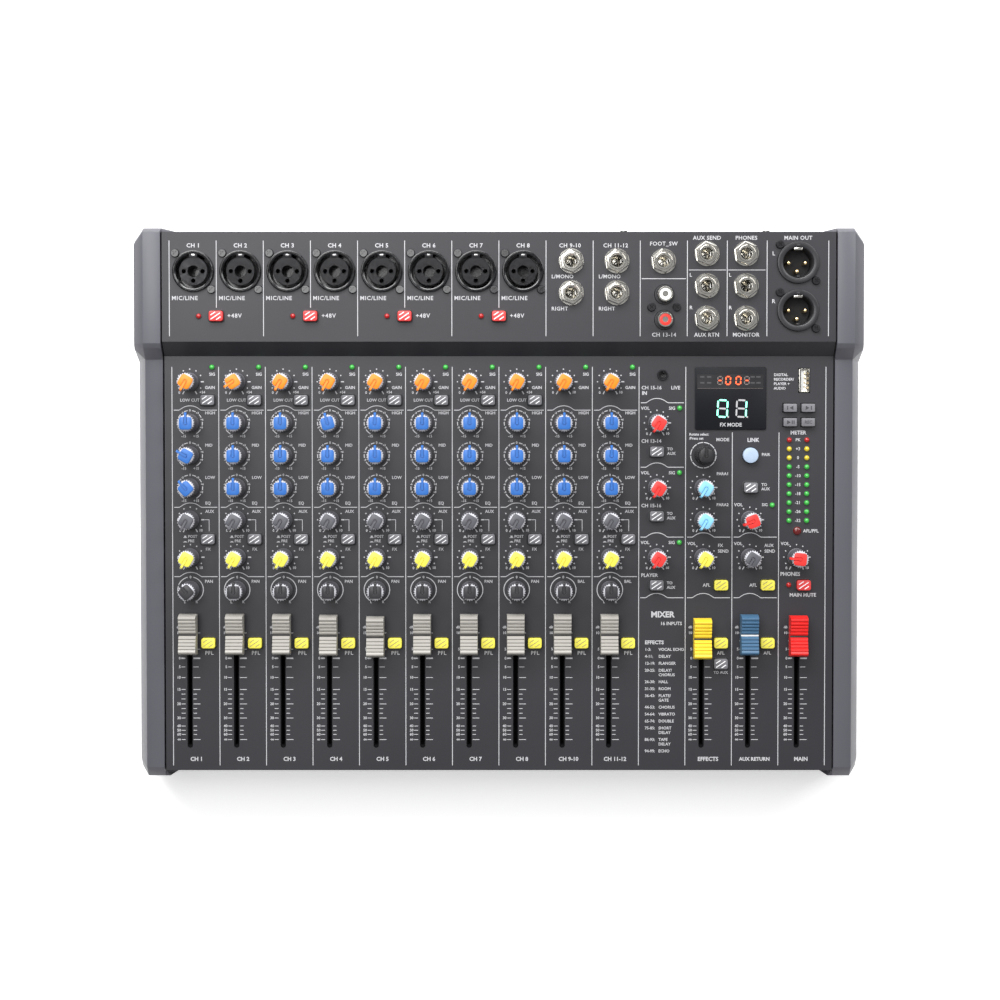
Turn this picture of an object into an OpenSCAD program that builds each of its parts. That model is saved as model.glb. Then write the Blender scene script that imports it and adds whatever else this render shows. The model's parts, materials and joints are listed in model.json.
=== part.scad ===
// Table-top mixing console: ten input strips, a master section, and a raised connector panel.
// X runs to the right, Y to the back and Z up. The feet stand on Z = 0, under the middle of the box.

/* [Case] */
// Spacing of the printed columns
column_pitch = 26; // [26:0.5:32]
// Distance between two rows of knobs
row_pitch = 18; // [16:0.5:22]
// Height of the deck's front edge
front_height = 48; // [40:1:60]
// Slope of the deck and of the connector panel
slope = 5; // [3:0.5:8]
// Height that the riser climbs between the deck and the connector panel
riser_rise = 8; // [6:0.5:12]
// Thickness of the sheet steel
sheet = 1.2; // [1:0.1:2]
// Width of the flat top of each side cheek
cheek_flat = 9.7; // [8:0.1:14]
// Width of the chamfered outside of each side cheek
cheek_bevel = 5.8; // [4:0.1:8]
// Height of the rubber feet
foot_h = 5; // [4:0.5:8]

/* [Knobs] */
// Diameter of a knob's skirt
knob_d = 10.2; // [9:0.1:12]
// Height of a knob above the deck
knob_h = 16.5; // [12:0.5:20]
// Diameter of a potentiometer's shaft
shaft_d = 6; // [5:0.1:6.4]
// Half of the angle that a knob turns through
knob_sweep = 150; // [135:5:150]

/* [Faders] */
// Travel of a fader
fader_travel = 60; // [45:1:75]
// Length of a fader's cap along its travel
cap_len = 22.6; // [16:0.2:26]
// Width of a fader's cap
cap_w = 10.2; // [8:0.2:12.4]

/* [Buttons] */
// Width of a push-button's cap
button_w = 7.7; // [6:0.1:9.2]
// Depth of a push-button's cap
button_d = 5.7; // [4.5:0.1:6.8]
// Travel of a push-button
button_travel = 1.5; // [1:0.1:2]

/* [Sockets] */
// Diameter of the microphone sockets' and output sockets' rings
ring_d = 23; // [20:0.5:23]
// Diameter of the hole for a 6.35 mm plug
jack_bore_d = 6.5; // [6.4:0.05:6.6]
// Diameter of the jack sockets' nuts
nut_d = 14; // [12:0.5:14.5]

/* [Hidden] */
$fn = 48;
column_count = 14;
strip_count = 10;
mic_count = 8;

// Clearances
run_gap = 0.05;     // radial gap of a turning or sliding shaft
fit_gap = 0.1;      // gap of pieces that are pushed or screwed together
cap_gap = 0.4;      // gap round a button's cap or a lamp
seat_gap = 0.3;     // gap under a piece that stands on another without touching
panel_gap = 0.8;    // shadow gap between the chassis and the cheeks
over = 1;           // extra length of every cut

// Offsets inside a column, from its left line
knob_dx = 9.9;
fader_dx = 9.35;
master_fader_dx = [9.05, 9.05, 10.3];
button_dx = 20;
lamp_dx = 22.3;

// Rows of the deck, measured down the slope from its back edge
gain_v = 14.2;
high_v = gain_v + row_pitch + 4.9;
mid_v = high_v + row_pitch;
low_v = mid_v + row_pitch;
aux_v = low_v + row_pitch;
fx_v = aux_v + row_pitch + 2.9;
pan_v = fx_v + row_pitch + 0.2;
fader_top_v = pan_v + 24.2;
fader_bottom_v = fader_top_v + fader_travel;
deck_len = fader_bottom_v + 17;
signal_v = 6.1;
low_cut_v = gain_v + 10.2;
pre_post_v = aux_v + 10.7;
listen_v = fader_top_v + 5.5;

// Rows of the connector panel, measured down the slope from its back edge
mic_u = 21.8;
line_us = [16.1, 33.6];
foot_u = 16.2;
phono_us = [34.6, 48.6];
out_us = [12.1, 29.8, 47.7];
xlr_us = [17, 43.3];
phantom_u = 46.5;
panel_len = xlr_us[1] + 17.3;

// Case outline
side_margin = 4.1;
case_half = column_pitch * column_count / 2 + side_margin;
cheek_in = case_half + panel_gap;
cheek_top = cheek_in + cheek_flat;
cheek_out = cheek_top + cheek_bevel;
riser_run = 7.2;
deck_run = deck_len * cos(slope);
panel_run = panel_len * cos(slope);
case_len = deck_run + riser_run + panel_run;
wrap_front = 3.4;           // the cheeks reach this far past the front wall
wrap_back = 2.5;            // and this far past the rear wall
power_reach = 5.9;          // how far the power button stands out of the rear wall
front_y = -(case_len + wrap_front + power_reach) / 2 + wrap_front;
back_y = front_y + case_len;
deck_back = [front_y + deck_run, front_height + deck_len * sin(slope)];
panel_front = deck_back + [riser_run, riser_rise];
panel_back = panel_front + [panel_run, panel_len * sin(slope)];
floor_z = foot_h;

// Boards, spacers and bodies below the deck
deck_board_h = -13;
panel_board_h = -26;
board_t = 1.6;
under = -sheet - seat_gap;
spacer_r = 2.1;
screw_r = 1.4;
screw_head_r = 2.5;
pot_w = 9.8;
pot_h = 6.3;
bush_r = shaft_d / 2 + run_gap + 0.5;
bush_top = 0.5;
knob_lift = 0.8;
switch_w = 6.6;
switch_h = 7;
slider_w = 9;
slider_len = fader_travel + 15;
lever_t = 1.2;
lever_len = 4;
slot_w = 3;
slot_end = 2.5;
cap_lift = 3.5;
cap_h = 8;
button_h = 3;
button_root = 3.5;
flange_w = 25;
jack_w = 15;
nut_h = 3.4;
usb_w = 5.7;
usb_len = 13.1;
lamp_r = 1.45;
meter_rows = 10;
meter_v = high_v + 9.5;
meter_pitch = 5;
display_w = 39.7;
display_d = 35;
display_c = [24.9, 23.4];
display_rim = 1.2;
mains_x = 150;
mains_z = 34;
power_x = 113.6;
power_w = 13;
power_z = panel_back[1] + panel_board_h - board_t - power_w / 2 - 5.3;

// Colours
steel_dark = [0.23, 0.23, 0.25];
cheek_grey = [0.42, 0.42, 0.46];
black = [0.07, 0.07, 0.08];
chrome = [0.80, 0.80, 0.82];
board_green = [0.05, 0.32, 0.18];
dark_knob = [0.20, 0.20, 0.22];
orange = [1.00, 0.62, 0.14];
blue = [0.25, 0.51, 0.80];
grey = [0.45, 0.45, 0.48];
yellow = [0.98, 0.90, 0.30];
red = [0.90, 0.20, 0.18];
pale_blue = [0.59, 0.86, 0.98];
beige = [0.69, 0.67, 0.64];
slate = [0.25, 0.37, 0.49];
cream = [0.93, 0.92, 0.86];

// Knobs of one input strip: name, row, resting angle clockwise from the top, colour
STRIP_KNOBS = [
    ["gain_knob", gain_v, -knob_sweep, orange],
    ["high_knob", high_v, 0, blue],
    ["mid_knob", mid_v, -60, blue],
    ["low_knob", low_v, -43, blue],
    ["aux_knob", aux_v, -knob_sweep, grey],
    ["effects_knob", fx_v, -knob_sweep, yellow],
    ["pan_knob", pan_v, -43, dark_knob]
];

// Resting angles of the strips' knobs, from strip 2 on: the turned ones first, then the usual ones
STRIP_TURNED = [[1, 0, -123], [3, 1, -16]];
strip_usual = [-knob_sweep, 0, 0, 0, -knob_sweep, -knob_sweep, 0];

// Knobs of the master section: name, column, offset, row, resting angle, colour
MASTER_KNOBS = [
    ["volume_13_14_knob", 10, 10, high_v, 2 - knob_sweep, red],
    ["volume_15_16_knob", 10, 10, low_v, 2 - knob_sweep, red],
    ["player_volume_knob", 10, 10, fx_v, 2 - knob_sweep, red],
    ["parameter_1_knob", 11, 9.9, low_v, 2 - knob_sweep, pale_blue],
    ["parameter_2_knob", 11, 9.9, aux_v, 2 - knob_sweep, pale_blue],
    ["effects_send_knob", 11, 9.9, fx_v, 2 - knob_sweep, yellow],
    ["wireless_volume_knob", 12, 9.8, aux_v, -111, red],
    ["aux_send_knob", 12, 9.8, fx_v, 2 - knob_sweep, grey],
    ["phones_knob", 13, 9.8, fx_v, -84, red]
];

// Faders: name, column, offset, how far below its top stop the cap rests, colour
FADERS = concat(
    [for (k = [0 : mic_count - 1])
        [str("fader_", k + 1), k, fader_dx, [0.1, 0.1, 0.1, 0.6, 1.4, 0.2, 0.2, 0.2][k], beige]],
    [["fader_9_10", 8, fader_dx, 0.2, beige],
     ["fader_11_12", 9, fader_dx, 0.2, beige],
     ["fader_effects", 11, master_fader_dx[0], 2.5, yellow],
     ["fader_return", 12, master_fader_dx[1], 0.4, slate],
     ["fader_main", 13, master_fader_dx[2], 1, red]]
);

// Left line of a column
function col(k) = (k - column_count / 2) * column_pitch;

// Places of the repeated pieces on the deck: [x, v]
low_cut_at = [for (k = [0 : mic_count - 1]) [col(k) + button_dx, low_cut_v]];
pre_post_at = [for (k = [0 : strip_count - 1]) [col(k) + button_dx, pre_post_v]];
listen_at = concat(
    [for (k = [0 : strip_count - 1]) [col(k) + button_dx, listen_v]],
    [for (k = [11, 12], v = [fx_v + 15.5, listen_v]) [col(k) + button_dx - 0.2, v]]
);
to_aux_at = [
    [col(10) + knob_dx, high_v + 15.9], [col(10) + knob_dx, low_v + 15.9], [col(10) + knob_dx, fx_v + 15.5],
    [col(11) + button_dx - 0.2, listen_v + 11.6], [col(12) + knob_dx + 0.3, low_v]
];
mute_at = [col(13) + 13.9, fx_v + 15.5];
pair_at = [col(12) + 10, mid_v];
transport_at = [for (x = [5.9, 15.9], v = [28.7, 36.7]) [col(13) + x, v]];
phantom_at = [for (k = [1 : 2 : mic_count - 1]) [col(k), phantom_u]];
encoder_at = [col(11) + knob_dx, mid_v];
usb_at = [col(13) + 13.9, 13.5];
small_jack_at = [col(10) + 13.1, 10.5];
small_lamps_at = concat(
    [for (k = [0 : strip_count - 1]) [col(k) + lamp_dx, signal_v]],
    [for (v = [high_v, low_v, fx_v]) [col(10) + lamp_dx + 0.3, v - 8.2]],
    [[col(12) + lamp_dx, aux_v - 8.2], [col(13) + 5.7, fx_v + 15.5]],
    [for (x = [5.7, 15.5], i = [0 : meter_rows - 1]) [col(13) + x, meter_v + i * meter_pitch]]
);
listen_lamp_at = [col(13) + 10.3, meter_v + meter_rows * meter_pitch + 0.7];
phantom_lamps_at = [for (p = phantom_at) [p[0] - 9.8, p[1]]];
strip_knobs_at = [for (k = [0 : strip_count - 1], s = STRIP_KNOBS) [col(k) + knob_dx, s[1]]];
master_knobs_at = [for (m = MASTER_KNOBS) [col(m[1]) + m[2], m[3]]];
spacers_at = [for (k = [1, 4, 7, 10, 13], v = [high_v + 8.9, pan_v + 11.9, deck_len - 6]) [col(k), v]];

// Places on the connector panel: [x, u]
mic_at = [for (k = [0 : mic_count - 1]) [col(k) + 13.3, mic_u]];
out_x = [col(11) + 10.8, col(11) + 32.5];
jacks_at = concat(
    [for (u = line_us) [col(8) + 13.9, u]],
    [for (u = line_us) [col(9) + 13.1, u]],
    [[col(10) + 12.8, foot_u]],
    [for (x = out_x, u = out_us) [x, u]]
);
phono_at = [for (u = phono_us) [col(10) + 13.3, u]];
xlr_at = [for (u = xlr_us) [col(14) - 16.9, u]];
ring_screw = (ring_d / 2 + screw_head_r + fit_gap) / sqrt(2);
ring_screws = [[-ring_screw, ring_screw], [ring_screw, -ring_screw]];

// A place of the deck or the panel as [y, z]
function deck_yz(v, h) = deck_back + [-v * cos(slope) - h * sin(slope), -v * sin(slope) + h * cos(slope)];
function panel_yz(u, h) = panel_back + [-u * cos(slope) - h * sin(slope), -u * sin(slope) + h * cos(slope)];

// Offsets an open outline of [y, z] points to its left by t
function left_of(a, b) = let(d = (b - a) / norm(b - a)) [-d[1], d[0]];
function meet(p, d, q, e) = p + d * cross(q - p, e) / cross(d, e);
function shifted(p, t) = [
    for (i = [0 : len(p) - 1])
        i == 0 ? p[0] + t * left_of(p[0], p[1]) :
        i == len(p) - 1 ? p[i] + t * left_of(p[i - 1], p[i]) :
        meet(p[i] + t * left_of(p[i - 1], p[i]), p[i] - p[i - 1],
             p[i] + t * left_of(p[i], p[i + 1]), p[i + 1] - p[i])
];
function backwards(p) = [for (i = [len(p) - 1 : -1 : 0]) p[i]];
function band(p, t) = concat(p, backwards(shifted(p, t)));

// Frames and small shapes
module on_deck() translate([0, deck_back[0], deck_back[1]]) rotate([slope, 0, 0]) children();
module on_panel() translate([0, panel_back[0], panel_back[1]]) rotate([slope, 0, 0]) children();
module at(p) translate([p[0], -p[1], 0]) children();
module at_each(places) for (p = places) at(p) children();
module across(x0, x1) translate([x0, 0, 0]) rotate([90, 0, 90]) linear_extrude(x1 - x0) children();
module block(w, d, z0, z1) translate([-w / 2, -d / 2, z0]) cube([w, d, z1 - z0]);
module rod(r, z0, z1) translate([0, 0, z0]) cylinder(r = r, h = z1 - z0);
module tube(r, hole, z0, z1) difference() {
    rod(r, z0, z1);
    rod(hole, z0 - over, z1 + over);
}

// A pan-head screw whose head stands on Z = 0, with a cross recess
head_taper = 0.5;
recess_len = 2.8;
recess_w = 0.6;
recess_depth = 0.8;
module screw(len, head_r = screw_head_r, head_h = 1.6) {
    difference() {
        cylinder(r1 = head_r, r2 = head_r - head_taper, h = head_h);
        for (a = [45, 135]) rotate(a) block(recess_len, recess_w, head_h - recess_depth, head_h + over);
    }
    rod(screw_r, -len, over / 2);
}

// ---- Case ----
top_path = [[front_y, floor_z], [front_y, front_height], deck_back, panel_front, panel_back];
deck_path = [top_path[0], top_path[1], deck_back];
riser_way = (panel_front - deck_back) / norm(panel_front - deck_back);
panel_path = [deck_back + fit_gap * riser_way, panel_front, panel_back];

slot_reach = (fader_travel + lever_len - slot_w) / 2 + slot_end;
module deck_cuts() on_deck() {
    at_each(concat(strip_knobs_at, master_knobs_at, [encoder_at])) rod(bush_r + cap_gap, -sheet - over, over);
    at_each(concat(low_cut_at, pre_post_at, listen_at, to_aux_at, [mute_at]))
        block(button_w + 2 * cap_gap, button_d + 2 * cap_gap, -sheet - over, over);
    at_each(transport_at) block(key_w + 2 * cap_gap, key_d + 2 * cap_gap, -sheet - over, over);
    at(pair_at) rod(pair_r + cap_gap, -sheet - over, over);
    at_each(small_lamps_at) rod(lamp_r + fit_gap, -sheet - over, over);
    at(listen_lamp_at) rod(listen_lamp_r + fit_gap, -sheet - over, over);
    at(usb_at) block(usb_w + 2 * cap_gap, usb_len + 2 * cap_gap, -sheet - over, over);
    at(small_jack_at) rod(small_jack_r + fit_gap, -sheet - over, over);
    at([col(11) + display_c[0], display_c[1]])
        block(display_w - 2 * display_rim, display_d - 2 * display_rim, -sheet - over, over);
    for (f = FADERS) at([col(f[1]) + f[2], (fader_top_v + fader_bottom_v) / 2]) {
        block(slot_w, 2 * slot_reach, -sheet - over, over);
        for (s = [-1, 1]) translate([0, s * slot_reach, 0]) rod(slot_w / 2, -sheet - over, over);
    }
}

module panel_cuts() on_panel() {
    at_each(concat(mic_at, xlr_at)) {
        rod(ring_d / 2 + fit_gap, -sheet - over, over);
        for (s = ring_screws) translate(s) rod(screw_r + fit_gap, -sheet - over, over);
    }
    at_each(jacks_at) rod(jack_thread_r + fit_gap, -sheet - over, over);
    at_each(phono_at) rod(phono_collar_r + fit_gap, -sheet - over, over);
    at_each(phono_screws_at) rod(screw_r + fit_gap, -sheet - over, over);
    at_each(phantom_at) block(button_w + 2 * cap_gap, button_d + 2 * cap_gap, -sheet - over, over);
    at_each(phantom_lamps_at) rod(lamp_r + fit_gap, -sheet - over, over);
}

module top_chassis() color(steel_dark) {
    difference() {
        across(-case_half, case_half) polygon(band(deck_path, -sheet));
        deck_cuts();
    }
    difference() {
        across(-case_half, case_half) polygon(band(panel_path, -sheet));
        panel_cuts();
    }
}

rear_screw_xs = [(out_x[1] + xlr_at[0][0] + (jack_w - flange_w) / 2) / 2, col(9) + 17.3];
rear_screw_z = panel_back[1] - 7;
mains_w = 27.4;
mains_h = 20;
mains_flange_w = 48;
mains_screw_dx = 20;
tray_path = [[front_y + sheet + fit_gap, floor_z], [back_y, floor_z], [back_y, panel_back[1] - 1.4]];
inner_top = shifted(top_path, -sheet - fit_gap);
foot_inset = 22;
feet_at = [for (x = [-1, 1], y = [front_y + foot_inset, back_y - foot_inset]) [x * (case_half - foot_inset), y]];
cheek_screws = [[front_y + 25, 22], [deck_back[0] - 95, 32], [deck_back[0] - 25, 40], [back_y - 25, 50]];

module base_tray() color(steel_dark) difference() {
    union() {
        across(-case_half, case_half) polygon(band(tray_path, sheet));
        for (x = [-case_half, case_half - sheet]) across(x, x + sheet)
            polygon(concat([[front_y + sheet + fit_gap, floor_z], [back_y - sheet / 2, floor_z]],
                           [[back_y - sheet / 2, inner_top[4][1]]],
                           [inner_top[3], inner_top[2], inner_top[1]]));
    }
    for (x = rear_screw_xs) translate([x, back_y, rear_screw_z]) rotate([-90, 0, 0]) rod(screw_r + fit_gap, -5, over);
    translate([mains_x, back_y, mains_z]) rotate([-90, 0, 0]) {
        block(mains_w + 2 * fit_gap, mains_h + 2 * fit_gap, -5, over);
        for (s = [-1, 1]) translate([s * mains_screw_dx, 0, 0]) rod(screw_r + fit_gap, -5, over);
    }
    translate([power_x, back_y, power_z]) rotate([-90, 0, 0]) rod(power_r + cap_gap, -5, over);
    for (p = feet_at) translate([p[0], p[1], floor_z]) rod(screw_r + fit_gap, -over, sheet + over);
    for (c = cheek_screws) translate([0, c[0], c[1]]) rotate([0, 90, 0])
        rod(screw_r + fit_gap, -case_half - over, case_half + over);
}

// Outline of a cheek, all round, at its flat top: [y, z], with the top shifted down for the outer face
cheek_lift = 1;
cheek_floor = 2.5;
cheek_nose = 5;
cheek_tail = 2.8;
function cheek_outline(front, back, deck_drop, panel_drop, low) = let(
    f = front_y - wrap_front + front,
    b = back_y + wrap_back - back,
    dz = cheek_lift - deck_drop,
    pz = cheek_lift - panel_drop,
    top = function(y) deck_back[1] + (y - deck_back[0]) * tan(slope) + dz,
    roof = function(y) panel_front[1] + (y - panel_front[0]) * tan(slope) + pz
) [
    [f, low], [f, top(f) - cheek_nose], [f + cheek_nose, top(f + cheek_nose)],
    [deck_back[0] - 2, top(deck_back[0] - 2)],
    [panel_front[0] - 3.6, roof(panel_front[0]) - 1.8], [panel_front[0] - 1, roof(panel_front[0] - 1)],
    [b - cheek_tail, roof(b - cheek_tail)], [b, roof(b) - cheek_nose + 1], [b, low]
];
cheek_face = cheek_outline(0, 0, 0, 0, cheek_floor);
cheek_side = cheek_outline(4.2, 6.1, 14, 5, cheek_floor + 1.5);
cheek_wall = 2.6;

cheek_skin = 0.02;

// The chamfered outside of a cheek between two points of its outline
function footed(p, i0, i1) = concat([[p[i0][0], p[0][1]]], [for (i = [i0 : i1]) p[i]], [[p[i1][0], p[0][1]]]);
module chamfered(i0, i1) hull() {
    across(cheek_top - cheek_skin, cheek_top) polygon(footed(cheek_face, i0, i1));
    across(cheek_out - cheek_skin, cheek_out) polygon(footed(cheek_side, i0, i1));
}

module wedge(points, z0, z1) translate([0, 0, z0]) linear_extrude(z1 - z0) polygon(points);

module cheek() {
    pocket = shifted(concat(cheek_face, [cheek_face[0], cheek_face[1]]), -cheek_wall);
    difference() {
        union() {
            across(cheek_in, cheek_top) polygon(cheek_face);
            chamfered(1, 3);
            chamfered(3, 4);
            chamfered(4, 7);
            wedge([[cheek_in, back_y + wrap_back], [cheek_in, back_y + seat_gap],
                   [cheek_in - 8.8, back_y + seat_gap]], cheek_floor, cheek_face[7][1]);
            wedge([[cheek_in, front_y - wrap_front], [cheek_in - 2.5, front_y - wrap_front],
                   [cheek_in, front_y - seat_gap]], cheek_floor, cheek_face[1][1]);
        }
        across(cheek_in - over, cheek_top - cheek_wall) polygon([for (i = [1 : len(cheek_face)]) pocket[i]]);
    }
    for (c = cheek_screws) translate([0, c[0], c[1]]) rotate([0, 90, 0])
        tube(4, screw_r + fit_gap, case_half, cheek_top - cheek_wall);
}

module left_cheek() color(cheek_grey) mirror([1, 0, 0]) cheek();
module right_cheek() color(cheek_grey) cheek();

foot_r = 7;
module rubber_feet() color(black) for (p = feet_at) translate([p[0], p[1], 0]) difference() {
    rod(foot_r, 0, foot_h);
    rod(3, -over, foot_h / 2);
    rod(screw_r + fit_gap, -over, foot_h + over);
}

// ---- Sockets ----
jack_bore = jack_bore_d / 2;
jack_thread_r = 4.7;
small_jack_r = 3;
small_bore_r = 1.8;
phono_collar_r = 5.5;
phono_r = 4.15;
phono_screws_at = [for (s = [-1, 1]) [phono_at[0][0] + s * 7, (phono_us[0] + phono_us[1]) / 2]];
socket_face = 1.5;
ring_wall = 1.8;
shell_r = ring_d / 2 - ring_wall;
core_r = shell_r - ring_wall;
core_h = 0.3;
shell_depth = 14;
contact_r = 1.3;
contact_ring = jack_bore + contact_r + 0.65;
contact_angles = [0, 180, 270];
small_jack_w = 7;
small_jack_h = 1.2;

module flange() translate([0, 0, -sheet]) difference() {
    block(flange_w, flange_w, -2, 0);
    for (s = ring_screws) translate(s) rod(screw_r + fit_gap, -4, over);
    rod(core_r, -4, over);
}

module ring_shell(floor_h) difference() {
    rod(ring_d / 2, panel_board_h, socket_face);
    rod(shell_r, floor_h, socket_face + over);
}

module combo_sockets() color(black) on_panel() at_each(mic_at) {
    difference() {
        union() {
            ring_shell(-shell_depth);
            flange();
            rod(core_r, -shell_depth - over, core_h);
        }
        rod(jack_bore, panel_board_h + 2, core_h + over);
        for (a = contact_angles) rotate(a) translate([contact_ring, 0, 0]) rod(contact_r, -shell_depth, core_h + over);
    }
}

pin_r = 1.2;
pin_ring = 4.75;
module pins_at() for (a = contact_angles) rotate(a) translate([pin_ring, 0, 0]) children();

module xlr_outputs() color(black) on_panel() at_each(xlr_at) {
    difference() {
        union() {
            ring_shell(-shell_depth);
            flange();
        }
        pins_at() rod(pin_r + run_gap, -shell_depth - 4, 0);
    }
    pins_at() rod(pin_r, -shell_depth - 4 + run_gap, -3);
}

module big_jack() {
    difference() {
        union() {
            block(jack_w, jack_w, panel_board_h, -sheet);
            rod(jack_thread_r, -sheet - over, nut_h + 0.6);
        }
        rod(jack_bore, panel_board_h + 2, nut_h + 2 * over);
    }
    tube(nut_d / 2, jack_thread_r + run_gap, 0, nut_h);
}

module small_jack() difference() {
    union() {
        block(small_jack_w, small_jack_w, deck_board_h, -sheet);
        rod(small_jack_r, -sheet - over, small_jack_h);
    }
    rod(small_bore_r, deck_board_h + 1, small_jack_h + over);
}

module jack_sockets() color(chrome) {
    on_panel() at_each(jacks_at) big_jack();
    on_deck() at(small_jack_at) small_jack();
}

phono_h = 8;
phono_bore_r = 1.6;
phono_bore_h = -5;
module phono_sockets() color(black) on_panel() {
    difference() {
        union() {
            at([phono_at[0][0], (phono_us[0] + phono_us[1]) / 2]) block(17.5, 27, panel_board_h, -sheet);
            at_each(phono_at) {
                rod(phono_collar_r, -sheet - over, 1);
                rod(phono_r, 0, phono_h);
            }
        }
        at_each(phono_at) rod(phono_bore_r, phono_bore_h, phono_h + over);
        at_each(phono_screws_at) rod(screw_r + fit_gap, -8, over);
    }
}

module usb_socket() color(chrome) on_deck() at(usb_at) {
    difference() {
        block(usb_w, usb_len, deck_board_h, 0.3);
        block(usb_w - 0.6, usb_len - 0.6, deck_board_h + 1, 1);
    }
    translate([0.9, 0, 0]) block(1.8, usb_len - 1.6, deck_board_h + 1, -1);
}

// ---- Display and lamps ----
module display_unit() color(black) on_deck() at([col(11) + display_c[0], display_c[1]]) {
    union() {
        block(display_w, display_d, 0, 0.8);
        block(display_w - 2 * display_rim - 2 * fit_gap, display_d - 2 * display_rim - 2 * fit_gap, -6, 0.4);
        for (s = [-1, 1]) translate([0, s * (display_d / 2 - 5), 0]) block(display_w - 12, 2.4, deck_board_h, -5);
    }
}

listen_lamp_r = 2.4;
module lamp(r, board) {
    rod(r, -4, 0.2);
    intersection() {
        translate([0, 0, 0.2]) sphere(r = r);
        rod(r, 0, r + over);
    }
    rod(r + 0.4, board, -4);
}

module indicator_lamps() color([0.3, 0.75, 0.3]) {
    on_deck() at_each(small_lamps_at) lamp(lamp_r, deck_board_h);
    on_deck() at(listen_lamp_at) lamp(listen_lamp_r, deck_board_h);
    on_panel() at_each(phantom_lamps_at) lamp(lamp_r, panel_board_h);
}

// ---- Boards and what stands on them ----
board_inset = 3.5;
board_u0 = 6;
board_u1 = panel_len - 3.4;
ribbon_xs = [-90, 40];
ribbon_w = 34;
ribbon_t = 1;

module circuit_boards() color(board_green) {
    difference() {
        on_deck() translate([-case_half + board_inset, -deck_len + board_inset, deck_board_h - board_t])
            cube([2 * (case_half - board_inset), deck_len - 2 * board_inset, board_t]);
        on_deck() at_each(spacers_at) rod(screw_r + fit_gap, deck_board_h - 2 * board_t, deck_board_h + over);
    }
    on_panel() translate([-case_half + board_inset, -board_u1, panel_board_h - board_t])
        cube([2 * (case_half - board_inset), board_u1 - board_u0, board_t]);
    for (x = ribbon_xs) across(x, x + ribbon_w) polygon(band([
        panel_yz(board_u1 - 12, panel_board_h - board_t - fit_gap), panel_yz(board_u1 - 12, panel_board_h - 12),
        panel_yz(board_u1 - 4, panel_board_h - 17), deck_yz(9, deck_board_h - 14),
        deck_yz(14, deck_board_h - 9), deck_yz(14, deck_board_h - board_t - fit_gap)
    ], -ribbon_t));
}

module pot() difference() {
    union() {
        block(pot_w, pot_w + 1, deck_board_h, deck_board_h + pot_h);
        rod(bush_r, deck_board_h + pot_h - over, bush_top);
    }
    rod(shaft_d / 2 + run_gap, deck_board_h + 1.2, bush_top + over);
}

shaft_root = deck_board_h + 1.5;
knob_hub = 12;
module shaft(root = shaft_root) rod(shaft_d / 2, root, knob_hub);

module pot_bodies() color(grey) on_deck() {
    at_each(concat(strip_knobs_at, master_knobs_at, [encoder_at])) pot();
    for (k = [1 : strip_count - 1], s = STRIP_KNOBS) at([col(k) + knob_dx, s[1]]) shaft();
}

stem_r = 1.5;
module switch_body(board) difference() {
    block(switch_w, switch_w, board, board + switch_h);
    rod(stem_r + run_gap, board + 1, board + switch_h + over);
}

power_r = 4.25;
module switch_bodies() color(black) {
    on_deck() at_each(concat(low_cut_at, pre_post_at, listen_at, to_aux_at, [mute_at, pair_at], transport_at))
        switch_body(deck_board_h);
    on_panel() at_each(phantom_at) switch_body(panel_board_h);
    translate([power_x, back_y - sheet, power_z]) rotate([-90, 0, 0]) difference() {
        block(power_w, power_w, -22, 0);
        rod(power_r + cap_gap, -8, over);
        rod(stem_r + run_gap, -17, over);
    }
}

module slide_pots() color(chrome) on_deck() for (f = FADERS)
    at([col(f[1]) + f[2], (fader_top_v + fader_bottom_v) / 2]) difference() {
        block(slider_w, slider_len, deck_board_h, under);
        block(lever_t + 2 * seat_gap, fader_travel + lever_len + 2, deck_board_h + 2, 0);
    }

psu_x = 118;
psu_y = back_y - 66;
psu_lift = 6;
psu_z = floor_z + sheet + psu_lift;
psu_feet = [for (x = [-44, 44], y = [-28, 28]) [psu_x + x, psu_y + y]];
inlet_depth = 18;
terminal_w = 17;
wire_pitch = 5;
wire_r = 1.2;
wire_h = 9;
module power_supply() {
    color(board_green) translate([psu_x, psu_y, psu_z]) difference() {
        block(100, 70, 0, board_t);
        for (x = [-44, 44], y = [-28, 28]) translate([x, y, 0]) rod(screw_r + fit_gap, -over, 2 * over + board_t);
    }
    translate([psu_x, psu_y, psu_z + board_t + run_gap]) {
        color(yellow) translate([-14, 2, 0]) block(34, 28, 0, 25);
        color(black) for (y = [-16, 10]) translate([17, y, 0]) rod(9, 0, 24);
        color(chrome) translate([-39, -6, 0]) block(3, 36, 0, 22);
        color(black) translate([mains_x - psu_x, 29, 0]) difference() {
            block(terminal_w, 10, 0, 14);
            for (s = [-1, 0, 1]) translate([s * wire_pitch, 0, wire_h]) rotate([-90, 0, 0])
                rod(wire_r + run_gap, -2, 10);
        }
    }
    color(red) for (s = [-1, 0, 1]) translate([mains_x + s * wire_pitch, 0, psu_z + board_t + run_gap + wire_h])
        rotate([-90, 0, 0]) rod(wire_r, psu_y + 29, back_y - inlet_depth - run_gap);
}

module mains_inlet() color(black) translate([mains_x, back_y, mains_z]) rotate([-90, 0, 0]) {
    difference() {
        union() {
            block(mains_w, mains_h, -inlet_depth, over);
            block(mains_flange_w, mains_h + 3, 0, 2.3);
        }
        block(mains_w - 4, mains_h - 4, -inlet_depth + 3, 4);
        for (s = [-1, 1]) translate([s * mains_screw_dx, 0, 0]) rod(screw_r + fit_gap, -5, 4);
    }
    for (s = [-1, 0, 1]) translate([s * 7, s == 0 ? -2 : 2, 0]) block(2, 4, -inlet_depth + 3, -2);
}

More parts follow.
